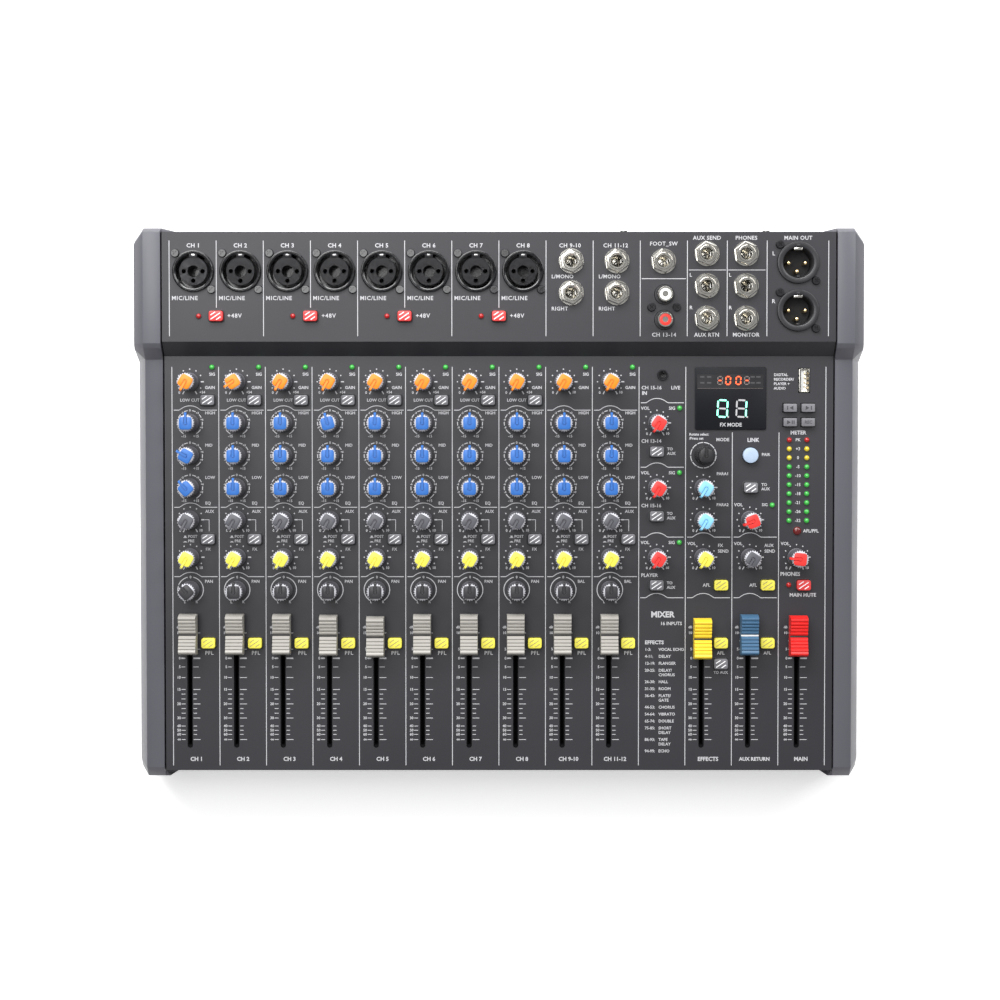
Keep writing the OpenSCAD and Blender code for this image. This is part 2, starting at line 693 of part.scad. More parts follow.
module screws() color(chrome) {
    on_panel() at_each(concat(mic_at, xlr_at)) for (s = ring_screws) translate(s) screw(6);
    on_panel() at_each(phono_screws_at) screw(7);
    for (x = rear_screw_xs) translate([x, back_y, rear_screw_z]) rotate([-90, 0, 0]) screw(5);
    for (s = [-1, 1]) translate([mains_x + s * mains_screw_dx, back_y + 2.3, mains_z]) rotate([-90, 0, 0]) screw(6);
    for (p = feet_at) translate([p[0], p[1], foot_h / 2]) rotate([180, 0, 0]) screw(foot_h, 2.5, 1.5);
    for (s = [0, 1], c = cheek_screws) mirror([s, 0, 0]) translate([case_half - sheet, c[0], c[1]])
        rotate([0, -90, 0]) screw(8);
    on_deck() at_each(spacers_at) {
        tube(spacer_r, screw_r + fit_gap, deck_board_h, -sheet);
        translate([0, 0, deck_board_h - board_t]) rotate([180, 0, 0]) screw(8);
    }
    for (p = psu_feet) translate([p[0], p[1], psu_z]) {
        tube(3, screw_r + fit_gap, -psu_lift, 0);
        translate([0, 0, board_t]) screw(5);
    }
}

// ---- Knobs ----
tip_r = 3.3;
tip_h = 1.4;
pointer_w = 1.4;
pointer_h = 3;
pointer_out = 0.8;
module knob_cap(lift = knob_lift) difference() {
    union() {
        translate([0, 0, lift]) cylinder(d1 = knob_d, d2 = knob_d - 0.6, h = knob_h - tip_h - lift);
        rod(tip_r, knob_h - tip_h - over, knob_h);
        translate([-pointer_w / 2, 0, knob_h - pointer_h]) cube([pointer_w, knob_d / 2 + pointer_out, pointer_h]);
    }
    rod(shaft_d / 2 + run_gap, -over, knob_hub + seat_gap);
}

function strip_angle(k, i) = let(turned = [for (t = STRIP_TURNED) if (t[0] == k && t[1] == i) t[2]])
    len(turned) > 0 ? turned[0] : strip_usual[i];

module channel_knobs() color(dark_knob) on_deck()
    for (k = [1 : strip_count - 1], i = [0 : len(STRIP_KNOBS) - 1])
        at([col(k) + knob_dx, STRIP_KNOBS[i][1]]) rotate(-strip_angle(k, i)) knob_cap();

module turning_knob(place, angle, tint) color(tint) on_deck() at(place) {
    rotate(-angle) knob_cap();
    shaft();
}

encoder_press = 0.5;
module encoder_shaft() color(chrome) on_deck() at(encoder_at) shaft(shaft_root + encoder_press);
module mode_knob() color(dark_knob) on_deck() at(encoder_at) knob_cap(knob_lift + encoder_press);

// ---- Faders ----
dip = 2.6;
pocket_h = 4;
module fader_cap() difference() {
    rotate([90, 0, 90]) translate([0, 0, -cap_w / 2]) linear_extrude(cap_w) polygon([
        [-cap_len / 2, 0], [cap_len / 2, 0], [cap_len / 2 - 0.4, 4.4], [cap_len / 2 - 2.2, cap_h],
        [cap_len / 2 - 3.4, cap_h], [1, cap_h - dip], [-1, cap_h - dip],
        [-cap_len / 2 + 3.4, cap_h], [-cap_len / 2 + 2.2, cap_h], [-cap_len / 2 + 0.4, 4.4]
    ]);
    block(lever_t + 2 * run_gap, lever_len + 2 * run_gap, -over, pocket_h + run_gap);
}

module fader(f) color(f[4]) on_deck() at([col(f[1]) + f[2], fader_top_v + f[3]]) {
    translate([0, 0, cap_lift]) fader_cap();
    block(lever_t, lever_len, deck_board_h + 2 + seat_gap, cap_lift + pocket_h);
}

// ---- Buttons ----
pair_r = 4.3;
key_w = 7.3;
key_d = 4.6;
module push_button(board, w = button_w, d = button_d) {
    block(w, d, -button_root, button_h);
    rod(stem_r, board + 1.2 + button_travel, -button_root);
}

module low_cut_buttons() color(grey) on_deck() at_each(low_cut_at) push_button(deck_board_h);
module pre_post_buttons() color(grey) on_deck() at_each(pre_post_at) push_button(deck_board_h);
module listen_buttons() color(yellow) on_deck() at_each(listen_at) push_button(deck_board_h);
module phantom_buttons() color(red) on_panel() at_each(phantom_at) push_button(panel_board_h);
module to_aux_buttons() color(grey) on_deck() at_each(to_aux_at) push_button(deck_board_h);
module mute_button() color(red) on_deck() at(mute_at) push_button(deck_board_h);
module transport_keys() color(grey) on_deck() at_each(transport_at) push_button(deck_board_h, key_w, key_d);
module pair_button() color(slate) on_deck() at(pair_at) {
    rod(pair_r, -button_root, button_h);
    rod(stem_r, deck_board_h + 1.2 + button_travel, -button_root);
}
module power_button() color(cream) translate([power_x, back_y, power_z]) rotate([-90, 0, 0]) {
    rod(power_r, -4.5, power_reach);
    rod(stem_r, -15, -4.5);
}

top_chassis();
base_tray();
left_cheek();
right_cheek();
combo_sockets();
xlr_outputs();
jack_sockets();
phono_sockets();
usb_socket();
display_unit();
indicator_lamps();
circuit_boards();
power_supply();
pot_bodies();
switch_bodies();
slide_pots();
mains_inlet();
rubber_feet();
screws();
channel_knobs();
encoder_shaft();
mode_knob();
for (k = STRIP_KNOBS)
    turning_knob([col(0) + knob_dx, k[1]], k[2], k[3]);
for (m = MASTER_KNOBS)
    turning_knob([col(m[1]) + m[2], m[3]], m[4], m[5]);
for (f = FADERS)
    fader(f);
low_cut_buttons();
pre_post_buttons();
listen_buttons();
phantom_buttons();
to_aux_buttons();
mute_button();
pair_button();
transport_keys();
power_button();
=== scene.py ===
import json
import math

import bpy
from bpy.props import FloatProperty, FloatVectorProperty, PointerProperty
from mathutils import Matrix, Vector


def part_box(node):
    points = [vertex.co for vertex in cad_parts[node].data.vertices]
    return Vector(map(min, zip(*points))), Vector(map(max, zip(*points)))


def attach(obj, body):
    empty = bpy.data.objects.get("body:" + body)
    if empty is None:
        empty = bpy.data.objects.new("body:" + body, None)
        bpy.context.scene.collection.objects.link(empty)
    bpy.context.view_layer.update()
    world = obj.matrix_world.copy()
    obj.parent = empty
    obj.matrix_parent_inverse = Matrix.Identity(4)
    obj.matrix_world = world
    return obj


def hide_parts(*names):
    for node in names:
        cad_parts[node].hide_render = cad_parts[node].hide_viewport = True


bl_info = {
    "name": "Mixing Console",
    "version": (1, 0, 0),
    "blender": (4, 5, 0),
    "location": "View3D > Sidebar > Console",
    "description": "Gives a table-top mixing console its finished looks, one group of pieces at a time",
    "category": "Object",
}

MM = 0.001
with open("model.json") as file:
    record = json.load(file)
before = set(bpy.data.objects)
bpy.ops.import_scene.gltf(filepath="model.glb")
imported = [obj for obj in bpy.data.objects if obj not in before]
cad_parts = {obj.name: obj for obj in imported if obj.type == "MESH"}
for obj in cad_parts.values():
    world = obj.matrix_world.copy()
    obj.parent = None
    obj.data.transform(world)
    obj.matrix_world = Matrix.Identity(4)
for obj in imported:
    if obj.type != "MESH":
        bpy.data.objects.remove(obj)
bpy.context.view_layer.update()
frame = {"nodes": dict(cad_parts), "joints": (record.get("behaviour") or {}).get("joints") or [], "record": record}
JOINTS = {j["name"]: j for j in frame["joints"]}
MOUNTS = {m["name"]: m for m in frame["record"]["mounts"]}


# ---------------------------------------------------------------- places on the frame

def plane_at(origin):
    """The sloping plane of the deck or the connector panel, with its X to the right and its Y up the slope."""
    return Matrix.Translation(origin) @ Matrix.Rotation(SLOPE, 4, "X")


def solids(node, plane):
    """The corner points of each separate solid of a CAD node, in millimetres on the plane given."""
    to_plane = plane.inverted()
    mesh = frame["nodes"][node].data
    points = [tuple(round(c, 6) for c in v.co) for v in mesh.vertices]
    leader = {p: p for p in points}

    def find(p):
        while leader[p] != p:
            leader[p] = leader[leader[p]]
            p = leader[p]
        return p

    for face in mesh.polygons:
        first = find(points[face.vertices[0]])
        for i in face.vertices[1:]:
            leader[find(points[i])] = first
    groups = {}
    for p in leader:
        groups.setdefault(find(p), []).append(to_plane @ Vector(p) / MM)
    return sorted(groups.values(), key=lambda g: (round(min(p.x for p in g), 1), -max(p.y for p in g)))


def span(points):
    """Lowest and highest corner of a group of points."""
    low = Vector([min(p[i] for p in points) for i in range(3)])
    high = Vector([max(p[i] for p in points) for i in range(3)])
    return low, high


def centre(points):
    low, high = span(points)
    return (low + high) / 2


def tallest(node, plane):
    """The solid of a node that stands highest."""
    return max(solids(node, plane), key=lambda g: max(p.z for p in g))


slope_axis = Vector(JOINTS["gain_knob_1_turn"]["axis"])
SLOPE = math.atan2(-slope_axis.y, slope_axis.z)
UP_SLOPE = Vector((0, math.cos(SLOPE), math.sin(SLOPE)))
GAIN_ROW = 14.2
gain_place = Vector(JOINTS["gain_knob_1_turn"]["pos_m"])
DECK = plane_at(Vector((0, gain_place.y, gain_place.z)) + UP_SLOPE * GAIN_ROW * MM)
chassis_low, chassis_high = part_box("top_chassis")
PANEL = plane_at(Vector((0, chassis_high.y, chassis_high.z)))

fader_xs = [centre(tallest(f"fader_{k}", DECK)).x for k in (1, 2)]
PITCH = fader_xs[1] - fader_xs[0]
COLUMNS = 14
STRIPS = 10
MIC_STRIPS = 8


def column(k):
    """Left line of a column, in millimetres."""
    return (k - COLUMNS / 2) * PITCH


def row_of(joint):
    """How far down the deck a joint lies from its back edge, in millimetres."""
    return -(DECK.inverted() @ Vector(JOINTS[joint]["pos_m"])).y / MM


HIGH_ROW = row_of("high_knob_1_turn")
MID_ROW = row_of("mid_knob_1_turn")
LOW_ROW = row_of("low_knob_1_turn")
AUX_ROW = row_of("aux_knob_1_turn")
EFFECTS_ROW = row_of("effects_knob_1_turn")
PAN_ROW = row_of("pan_knob_1_turn")
slider_low, slider_high = span(solids("slide_pots", DECK)[0])
slider_mid = -(slider_low.y + slider_high.y) / 2
FADER_TRAVEL = slider_high.y - slider_low.y - 15
FADER_TOP = slider_mid - FADER_TRAVEL / 2
KNOB_X = 9.9
FADER_X = fader_xs[0] - column(0)


# ---------------------------------------------------------------- settings

def shade(name, value, text):
    return FloatVectorProperty(name=name, description=text, default=value, size=3, subtype="COLOR", min=0, max=1)


def length(name, value, text):
    return FloatProperty(name=name, description=text, default=value, min=0, unit="LENGTH", precision=5)


class ConsoleSizes(bpy.types.PropertyGroup):
    ink: length("Ink", 0.00003, "Thickness of the print")
    dial: length("Dial", 0.007, "Radius of the marks round a knob")
    bevel: length("Cheek edge", 0.0007, "Softening of the side cheeks' edges")
    stripe: length("Stripe", 0.0005, "Width of the stripes on a button")


class ConsoleColours(bpy.types.PropertyGroup):
    paint: shade("Paint", (0.0215, 0.021, 0.0255), "Powder coat of the case")
    cheek: shade("Cheeks", (0.088, 0.088, 0.104), "Moulded side cheeks")
    ink: shade("Ink", (0.46, 0.46, 0.48), "Printed lines and words")
    body: shade("Knob body", (0.095, 0.095, 0.108), "Ribbed body of a knob")
    crown: shade("Knob crown", (0.50, 0.50, 0.54), "Toothed rim of a knob")
    orange: shade("Orange", (0.90, 0.23, 0.010), "Gain knobs")
    blue: shade("Blue", (0.028, 0.135, 0.44), "Tone knobs")
    grey: shade("Grey", (0.085, 0.085, 0.10), "Auxiliary knobs")
    yellow: shade("Yellow", (0.80, 0.72, 0.085), "Effects knobs and listen buttons")
    dark: shade("Dark", (0.028, 0.027, 0.031), "Pan knobs and the mode knob")
    red: shade("Red", (0.72, 0.035, 0.03), "Volume knobs")
    pale: shade("Pale blue", (0.22, 0.52, 0.74), "Parameter knobs")
    beige: shade("Beige", (0.33, 0.315, 0.29), "Channel fader caps")
    cap_yellow: shade("Cap yellow", (0.80, 0.56, 0.03), "Effects fader cap")
    cap_slate: shade("Cap slate", (0.045, 0.115, 0.205), "Return fader cap")
    cap_red: shade("Cap red", (0.66, 0.012, 0.010), "Main fader cap")
    button: shade("Buttons", (0.15, 0.15, 0.163), "Grey push-buttons")
    button_red: shade("Red buttons", (0.62, 0.045, 0.045), "Phantom and mute buttons")
    button_blue: shade("Pair button", (0.36, 0.45, 0.58), "Round pair button")
    cream: shade("Cream", (0.50, 0.48, 0.42), "Power button")


# ---------------------------------------------------------------- modelling

def deselect():
    if bpy.context.mode != "OBJECT":
        bpy.ops.object.mode_set(mode="OBJECT")
    bpy.ops.object.select_all(action="DESELECT")


def only(piece):
    """Makes one piece the selected and active one."""
    deselect()
    piece.select_set(True)
    bpy.context.view_layer.objects.active = piece


def edit(kind="VERT"):
    bpy.ops.object.mode_set(mode="EDIT")
    bpy.ops.mesh.select_mode(type=kind)


def pick(piece, test, kind="VERT"):
    """Selects the corners, edges or faces that pass a test, and leaves the piece in edit mode."""
    only(piece)
    edit(kind)
    bpy.ops.mesh.select_all(action="DESELECT")
    bpy.ops.object.mode_set(mode="OBJECT")
    mesh = piece.data
    parts = {"VERT": mesh.vertices, "EDGE": mesh.edges, "FACE": mesh.polygons}[kind]
    for part in parts:
        part.select = bool(test(part, mesh))
    bpy.ops.object.mode_set(mode="EDIT")


def tidy(piece, angle=35):
    """Closes the mesh, turns its faces outwards and shades its soft edges smooth."""
    only(piece)
    edit()
    bpy.ops.mesh.select_all(action="SELECT")
    bpy.ops.mesh.remove_doubles(threshold=1e-6)
    bpy.ops.mesh.normals_make_consistent(inside=False)
    bpy.ops.object.mode_set(mode="OBJECT")
    bpy.ops.object.shade_smooth_by_angle(angle=math.radians(angle))
    return piece


def named(name, matter=None):
    """Names the piece just added, puts its place in its mesh and gives it a material."""
    piece = bpy.context.active_object
    piece.name = name
    bpy.ops.object.transform_apply(location=True, rotation=True, scale=True)
    if matter:
        piece.data.materials.clear()
        piece.data.materials.append(matter)
    return piece


def leaf(name, wide, deep, place, rotation, matter=None):
    """A single upright face, from which a bar is drawn out."""
    deselect()
    bpy.ops.mesh.primitive_plane_add(size=1, rotation=rotation, location=[c * MM for c in place])
    bpy.context.active_object.scale = (wide * MM, deep * MM, 1)
    return named(name, matter)


def turned(name, steps, matter=None, sides=32, angle=35):
    """A turned solid: each step is (radius, height) in millimetres."""
    deselect()
    radius, height = steps[0]
    bpy.ops.mesh.primitive_circle_add(vertices=sides, radius=radius * MM, fill_type="NGON",
                                      location=(0, 0, height * MM))
    piece = named(name, matter)
    edit()
    bpy.ops.mesh.select_all(action="SELECT")
    for wide, high in steps[1:]:
        bpy.ops.mesh.extrude_region_move(TRANSFORM_OT_translate={"value": (0, 0, (high - height) * MM)})
        bpy.ops.transform.resize(value=(wide / radius, wide / radius, 1), center_override=(0, 0, high * MM))
        radius, height = wide, high
    bpy.ops.object.mode_set(mode="OBJECT")
    return tidy(piece, angle)


def soften(piece, width, segments=2, angle=40):
    """Rounds the sharp edges of a piece."""
    only(piece)
    bevel = piece.modifiers.new("Edges", "BEVEL")
    bevel.width = width * MM
    bevel.segments = segments
    bevel.limit_method = "ANGLE"
    bevel.angle_limit = math.radians(angle)
    bpy.ops.object.modifier_apply(modifier=bevel.name)
    return piece


def slab(name, wide, deep, low, high, matter=None, corner=0, edge=0, place=(0, 0), segments=3):
    """A plate standing between two heights, with rounded corners and softened edges."""
    deselect()
    bpy.ops.mesh.primitive_cube_add(size=1, location=(0, 0, (low + high) / 2 * MM),
                                    scale=(wide * MM, deep * MM, (high - low) * MM))
    piece = named(name, matter)
    if corner:
        pick(piece, lambda e, m: abs(m.vertices[e.vertices[0]].co.z - m.vertices[e.vertices[1]].co.z) > 1e-7, "EDGE")
        bpy.ops.mesh.bevel(offset=corner * MM, segments=segments, affect="EDGES")
        bpy.ops.object.mode_set(mode="OBJECT")
    if edge:
        soften(piece, edge, 2, 60)
    shift(piece, place[0], place[1], 0)
    return tidy(piece)


def swept(name, sections, matter=None):
    """A bar of rectangular section through (y, half width, low, high) stations, in millimetres."""
    y, half, low, high = sections[0]
    piece = leaf(name, 2 * half, high - low, (0, y, (low + high) / 2), (math.pi / 2, 0, 0), matter)
    edit()
    bpy.ops.mesh.select_all(action="SELECT")
    for y1, half1, low1, high1 in sections[1:]:
        middle, middle1 = (low + high) / 2, (low1 + high1) / 2
        bpy.ops.mesh.extrude_region_move(
            TRANSFORM_OT_translate={"value": (0, (y1 - y) * MM, (middle1 - middle) * MM)})
        bpy.ops.transform.resize(value=(half1 / half, 1, (high1 - low1) / (high - low)),
                                 center_override=(0, y1 * MM, middle1 * MM))
        y, half, low, high = y1, half1, low1, high1
    bpy.ops.object.mode_set(mode="OBJECT")
    return tidy(piece, 25)


def stroke(name, points, width, matter=None):
    """A flat printed line through (x, y) points that run from left to right."""
    x, y = points[0]
    piece = leaf(name, thickness(), width, (x, y, thickness() / 2), (0, math.pi / 2, 0), matter)
    edit()
    bpy.ops.mesh.select_all(action="SELECT")
    for x1, y1 in points[1:]:
        bpy.ops.mesh.extrude_region_move(TRANSFORM_OT_translate={"value": ((x1 - x) * MM, (y1 - y) * MM, 0)})
        x, y = x1, y1
    bpy.ops.object.mode_set(mode="OBJECT")
    return tidy(piece)


def arc(name, radius, start, end, width, matter=None, steps=8):
    """A flat printed arc, from one clock angle to another in degrees."""
    piece = leaf(name, thickness(), width, (0, radius, thickness() / 2), (0, math.pi / 2, 0), matter)
    turn(piece, -start)
    edit()
    bpy.ops.mesh.select_all(action="SELECT")
    for _ in range(steps):
        bpy.ops.mesh.extrude_region_move(TRANSFORM_OT_translate={"value": (0, 0, 0)})
        bpy.ops.transform.rotate(value=math.radians((start - end) / steps) * TURN_SIGN, orient_axis="Z",
                                 center_override=(0, 0, 0))
    bpy.ops.object.mode_set(mode="OBJECT")
    return tidy(piece)


def turning_sign():
    """With no window the rotate operator turns the other way, so it is tried once on a spare corner."""
    deselect()
    bpy.ops.mesh.primitive_plane_add(size=2)
    spare = bpy.context.active_object
    edit()
    bpy.ops.mesh.select_all(action="SELECT")
    bpy.ops.transform.rotate(value=0.1, orient_axis="Z", center_override=(0, 0, 0))
    bpy.ops.object.mode_set(mode="OBJECT")
    corner = next(v.co for v in spare.data.vertices if v.co.x > 0 and v.co.y > 0)
    sign = 1 if corner.y > corner.x else -1
    bpy.data.objects.remove(spare)
    return sign


TURN_SIGN = turning_sign()


def thickness():
    return bpy.context.scene.console_sizes.ink / MM


def move_by(piece, matrix):
    """Moves the mesh of a piece."""
    only(piece)
    piece.matrix_world = matrix @ piece.matrix_world
    bpy.ops.object.transform_apply(location=True, rotation=True, scale=True)
    return piece


def shift(piece, x, y, z=0):
    return move_by(piece, Matrix.Translation((x * MM, y * MM, z * MM)))


def turn(piece, degrees, axis="Z"):
    return move_by(piece, Matrix.Rotation(math.radians(degrees), 4, axis))


def at(x, y, z=0, degrees=0):
    """A place on a plane, in millimetres, with a turn round its upright."""
    return Matrix.Translation((x * MM, y * MM, z * MM)) @ Matrix.Rotation(math.radians(degrees), 4, "Z")


def copy_to(piece, matrix):
    """A copy of a piece with a mesh of its own."""
    other = piece.copy()
    other.data = piece.data.copy()
    bpy.context.scene.collection.objects.link(other)
    other.matrix_world = matrix
    return other


def drop(*pieces):
    for piece in pieces:
        bpy.data.objects.remove(piece)


def joined(name, pieces):
    """One piece made of several, with its place in its mesh."""
    deselect()
    for piece in pieces:
        piece.select_set(True)
    bpy.context.view_layer.objects.active = pieces[0]
    if len(pieces) > 1:
        bpy.ops.object.join()
    piece = bpy.context.active_object
    bpy.ops.object.transform_apply(location=True, rotation=True, scale=True)
    piece.name = piece.data.name = name
    return piece


def cut(piece, tools):
    """Takes the tools' shapes out of a piece."""
    for tool in tools:
        only(piece)
        hole = piece.modifiers.new("Hole", "BOOLEAN")
        hole.object = tool
        hole.operation = "DIFFERENCE"
        hole.solver = "EXACT"
        bpy.ops.object.modifier_apply(modifier=hole.name)
    drop(*tools)
    return tidy(piece)


def settle(piece, body, slot, *nodes):
    """Fixes a finished piece to its body and hides the CAD nodes that it stands for. The slot argument is not used."""
    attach(piece, body)
    if nodes:
        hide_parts(*nodes)
    return piece


def coat(node, matter):
    """Gives a CAD node that stays its finish."""
    mesh = frame["nodes"][node].data
    mesh.materials.clear()
    mesh.materials.append(matter)
    for face in mesh.polygons:
        face.material_index = 0


# ---------------------------------------------------------------- materials

def new_group(name, inputs, outputs):
    tree = bpy.data.node_groups.new(name, "ShaderNodeTree")
    for label, kind, value in inputs:
        socket = tree.interface.new_socket(name=label, in_out="INPUT", socket_type=kind)
        socket.default_value = value
    for label, kind in outputs:
        tree.interface.new_socket(name=label, in_out="OUTPUT", socket_type=kind)
    return tree, tree.nodes.new("NodeGroupInput"), tree.nodes.new("NodeGroupOutput")


def grain_group():
    """Fine grain over broad, faint patches: the surface of paint, moulded plastic and rubber."""
    tree, given, out = new_group(
        "Grain",
        [("Color", "NodeSocketColor", (0.5, 0.5, 0.5, 1)), ("Patches", "NodeSocketFloat", 0.1),
         ("Patch Scale", "NodeSocketFloat", 30), ("Grain Scale", "NodeSocketFloat", 1500),
         ("Roughness", "NodeSocketFloat", 0.5), ("Roughness Spread", "NodeSocketFloat", 0.1)],
        [("Color", "NodeSocketColor"), ("Roughness", "NodeSocketFloat"), ("Height", "NodeSocketFloat")])
    link, add = tree.links.new, tree.nodes.new
    place = add("ShaderNodeTexCoord")
    broad = add("ShaderNodeTexNoise")
    broad.inputs["Detail"].default_value = 4
    fine = add("ShaderNodeTexNoise")
    fine.inputs["Detail"].default_value = 2
    for noise, scale in ((broad, "Patch Scale"), (fine, "Grain Scale")):
        link(place.outputs["Object"], noise.inputs["Vector"])
        link(given.outputs[scale], noise.inputs["Scale"])
    centred = add("ShaderNodeMapRange")
    centred.inputs["From Min"].default_value = 0.3
    centred.inputs["From Max"].default_value = 0.7
    centred.inputs["To Min"].default_value = -1
    centred.inputs["To Max"].default_value = 1
    link(broad.outputs["Fac"], centred.inputs["Value"])
    amount = add("ShaderNodeMath")
    amount.operation = "MULTIPLY_ADD"
    link(centred.outputs["Result"], amount.inputs[0])
    link(given.outputs["Patches"], amount.inputs[1])
    amount.inputs[2].default_value = 1
    tint = add("ShaderNodeVectorMath")
    tint.operation = "SCALE"
    link(given.outputs["Color"], tint.inputs[0])
    link(amount.outputs["Value"], tint.inputs["Scale"])
    link(tint.outputs["Vector"], out.inputs["Color"])
    rough = add("ShaderNodeMath")
    rough.operation = "MULTIPLY_ADD"
    link(centred.outputs["Result"], rough.inputs[0])
    link(given.outputs["Roughness Spread"], rough.inputs[1])
    link(given.outputs["Roughness"], rough.inputs[2])
    link(rough.outputs["Value"], out.inputs["Roughness"])
    link(fine.outputs["Fac"], out.inputs["Height"])
    return tree


def brushed_group():
    """Fine parallel marks, as turning or plating leaves on metal."""
    tree, given, out = new_group(
        "Brushed",
        [("Color", "NodeSocketColor", (0.7, 0.7, 0.7, 1)), ("Marks", "NodeSocketFloat", 0.15),
         ("Scale", "NodeSocketFloat", 900), ("Roughness", "NodeSocketFloat", 0.25)],
        [("Color", "NodeSocketColor"), ("Roughness", "NodeSocketFloat"), ("Height", "NodeSocketFloat")])
    link, add = tree.links.new, tree.nodes.new
    place = add("ShaderNodeTexCoord")
    stretch = add("ShaderNodeMapping")
    stretch.inputs["Scale"].default_value = (0.08, 1, 1)
    link(place.outputs["Object"], stretch.inputs["Vector"])
    marks = add("ShaderNodeTexNoise")
    marks.inputs["Detail"].default_value = 5
    link(stretch.outputs["Vector"], marks.inputs["Vector"])
    link(given.outputs["Scale"], marks.inputs["Scale"])
    centred = add("ShaderNodeMapRange")
    centred.inputs["From Min"].default_value = 0.3
    centred.inputs["From Max"].default_value = 0.7
    centred.inputs["To Min"].default_value = -1
    centred.inputs["To Max"].default_value = 1
    link(marks.outputs["Fac"], centred.inputs["Value"])
    amount = add("ShaderNodeMath")
    amount.operation = "MULTIPLY_ADD"
    link(centred.outputs["Result"], amount.inputs[0])
    link(given.outputs["Marks"], amount.inputs[1])
    amount.inputs[2].default_value = 1
    tint = add("ShaderNodeVectorMath")
    tint.operation = "SCALE"
    link(given.outputs["Color"], tint.inputs[0])
    link(amount.outputs["Value"], tint.inputs["Scale"])
    link(tint.outputs["Vector"], out.inputs["Color"])
    rough = add("ShaderNodeMath")
    rough.operation = "MULTIPLY"
    link(given.outputs["Roughness"], rough.inputs[0])
    link(amount.outputs["Value"], rough.inputs[1])
    link(rough.outputs["Value"], out.inputs["Roughness"])
    link(marks.outputs["Fac"], out.inputs["Height"])
    return tree


def finish(name, group, values, bump, height_mm, **constants):
    """A material whose colour, roughness and relief come from a node group."""
    matter = bpy.data.materials.get(name)
    if matter:
        return matter
    matter = bpy.data.materials.new(name)
    matter.use_nodes = True
    tree = matter.node_tree
    shader = tree.nodes["Principled BSDF"]
    pattern = tree.nodes.new("ShaderNodeGroup")
    pattern.node_tree = bpy.data.node_groups.get(group) or {"Grain": grain_group, "Brushed": brushed_group}[group]()
    for label, value in values.items():
        pattern.inputs[label].default_value = value
    relief = tree.nodes.new("ShaderNodeBump")
    relief.inputs["Strength"].default_value = bump
    relief.inputs["Distance"].default_value = height_mm * MM
    tree.links.new(pattern.outputs["Color"], shader.inputs["Base Color"])
    tree.links.new(pattern.outputs["Roughness"], shader.inputs["Roughness"])
    tree.links.new(pattern.outputs["Height"], relief.inputs["Height"])
    tree.links.new(relief.outputs["Normal"], shader.inputs["Normal"])
    for label, value in constants.items():
        shader.inputs[label.replace("_", " ")].default_value = value
    return matter


def rgba(colour):
    return (*colour, 1)


def grained(name, colour, rough=0.45, patches=0.06, spread=0.05, scale=1800, bump=0.2, height=0.02, patch_scale=25,
            **constants):
    return finish(name, "Grain", {"Color": rgba(colour), "Patches": patches, "Patch Scale": patch_scale,
                                  "Grain Scale": scale, "Roughness": rough, "Roughness Spread": spread},
                  bump, height, **constants)


def metal(name, colour, rough=0.22, marks=0.12, scale=900):
    return finish(name, "Brushed", {"Color": rgba(colour), "Marks": marks, "Scale": scale, "Roughness": rough},
                  0.08, 0.01, Metallic=1.0)


def colours():
    return bpy.context.scene.console_colours


def powder_coat():
    return grained("Powder coat", colours().paint, 0.42, 0.05, 0.04, 2600, 0.35, 0.03, 12, Specular_IOR_Level=0.5)


def cheek_skin():
    return grained("Cheek skin", colours().cheek, 0.4, 0.04, 0.05, 1600, 0.25, 0.03, 10)


def ink():
    return grained("Ink", colours().ink, 0.5, 0.05, 0.04, 2500, 0.05, 0.01, 60)


def gloss_black():
    return grained("Gloss black", (0.012, 0.012, 0.014), 0.16, 0.2, 0.05, 900, 0.03, 0.01, 40, Coat_Weight=0.4,
                   Coat_Roughness=0.08)


def matt_black():
    return grained("Matt black", (0.022, 0.022, 0.025), 0.55, 0.15, 0.06, 1800, 0.3, 0.03, 40)


def chrome():
    return metal("Chrome", (0.74, 0.72, 0.67), 0.12, 0.08, 700)


def gold():
    return metal("Gold plate", (0.86, 0.66, 0.36), 0.2, 0.08, 700)


def tin():
    return metal("Tinned steel", (0.60, 0.60, 0.60), 0.32, 0.2, 500)


def lit(name, colour, strength, rough=0.25):
    return grained(name, colour, rough, 0.08, 0.03, 900, 0.05, 0.01, 200,
                   Emission_Color=rgba(colour), Emission_Strength=strength, Coat_Weight=0.5)


# ---------------------------------------------------------------- print

# heights of printed capitals and figures, width of a line and radius of the tone dials, in millimetres
LABEL = 1.68
FIGURE = 1.45
RULE = 0.42
TONE_RADIUS = 6.95
# height of a capital over the size of its font
CAPITAL = 0.72


def letters(text, height, align="CENTER", bold=0.05, spread=1.0):
    """Printed words with capitals of the height given in millimetres."""
    deselect()
    bpy.ops.object.text_add()
    words = bpy.context.active_object
    words.data.body = text
    words.data.size = height * MM / CAPITAL
    words.data.align_x = align
    words.data.align_y = "CENTER"
    words.data.space_character = spread
    words.data.resolution_u = 2
    words.data.offset = bold * MM
    words.data.extrude = thickness() / 2 * MM
    bpy.ops.object.convert(target="MESH")
    words = named("words", ink())
    return shift(words, 0, 0, thickness() / 2)


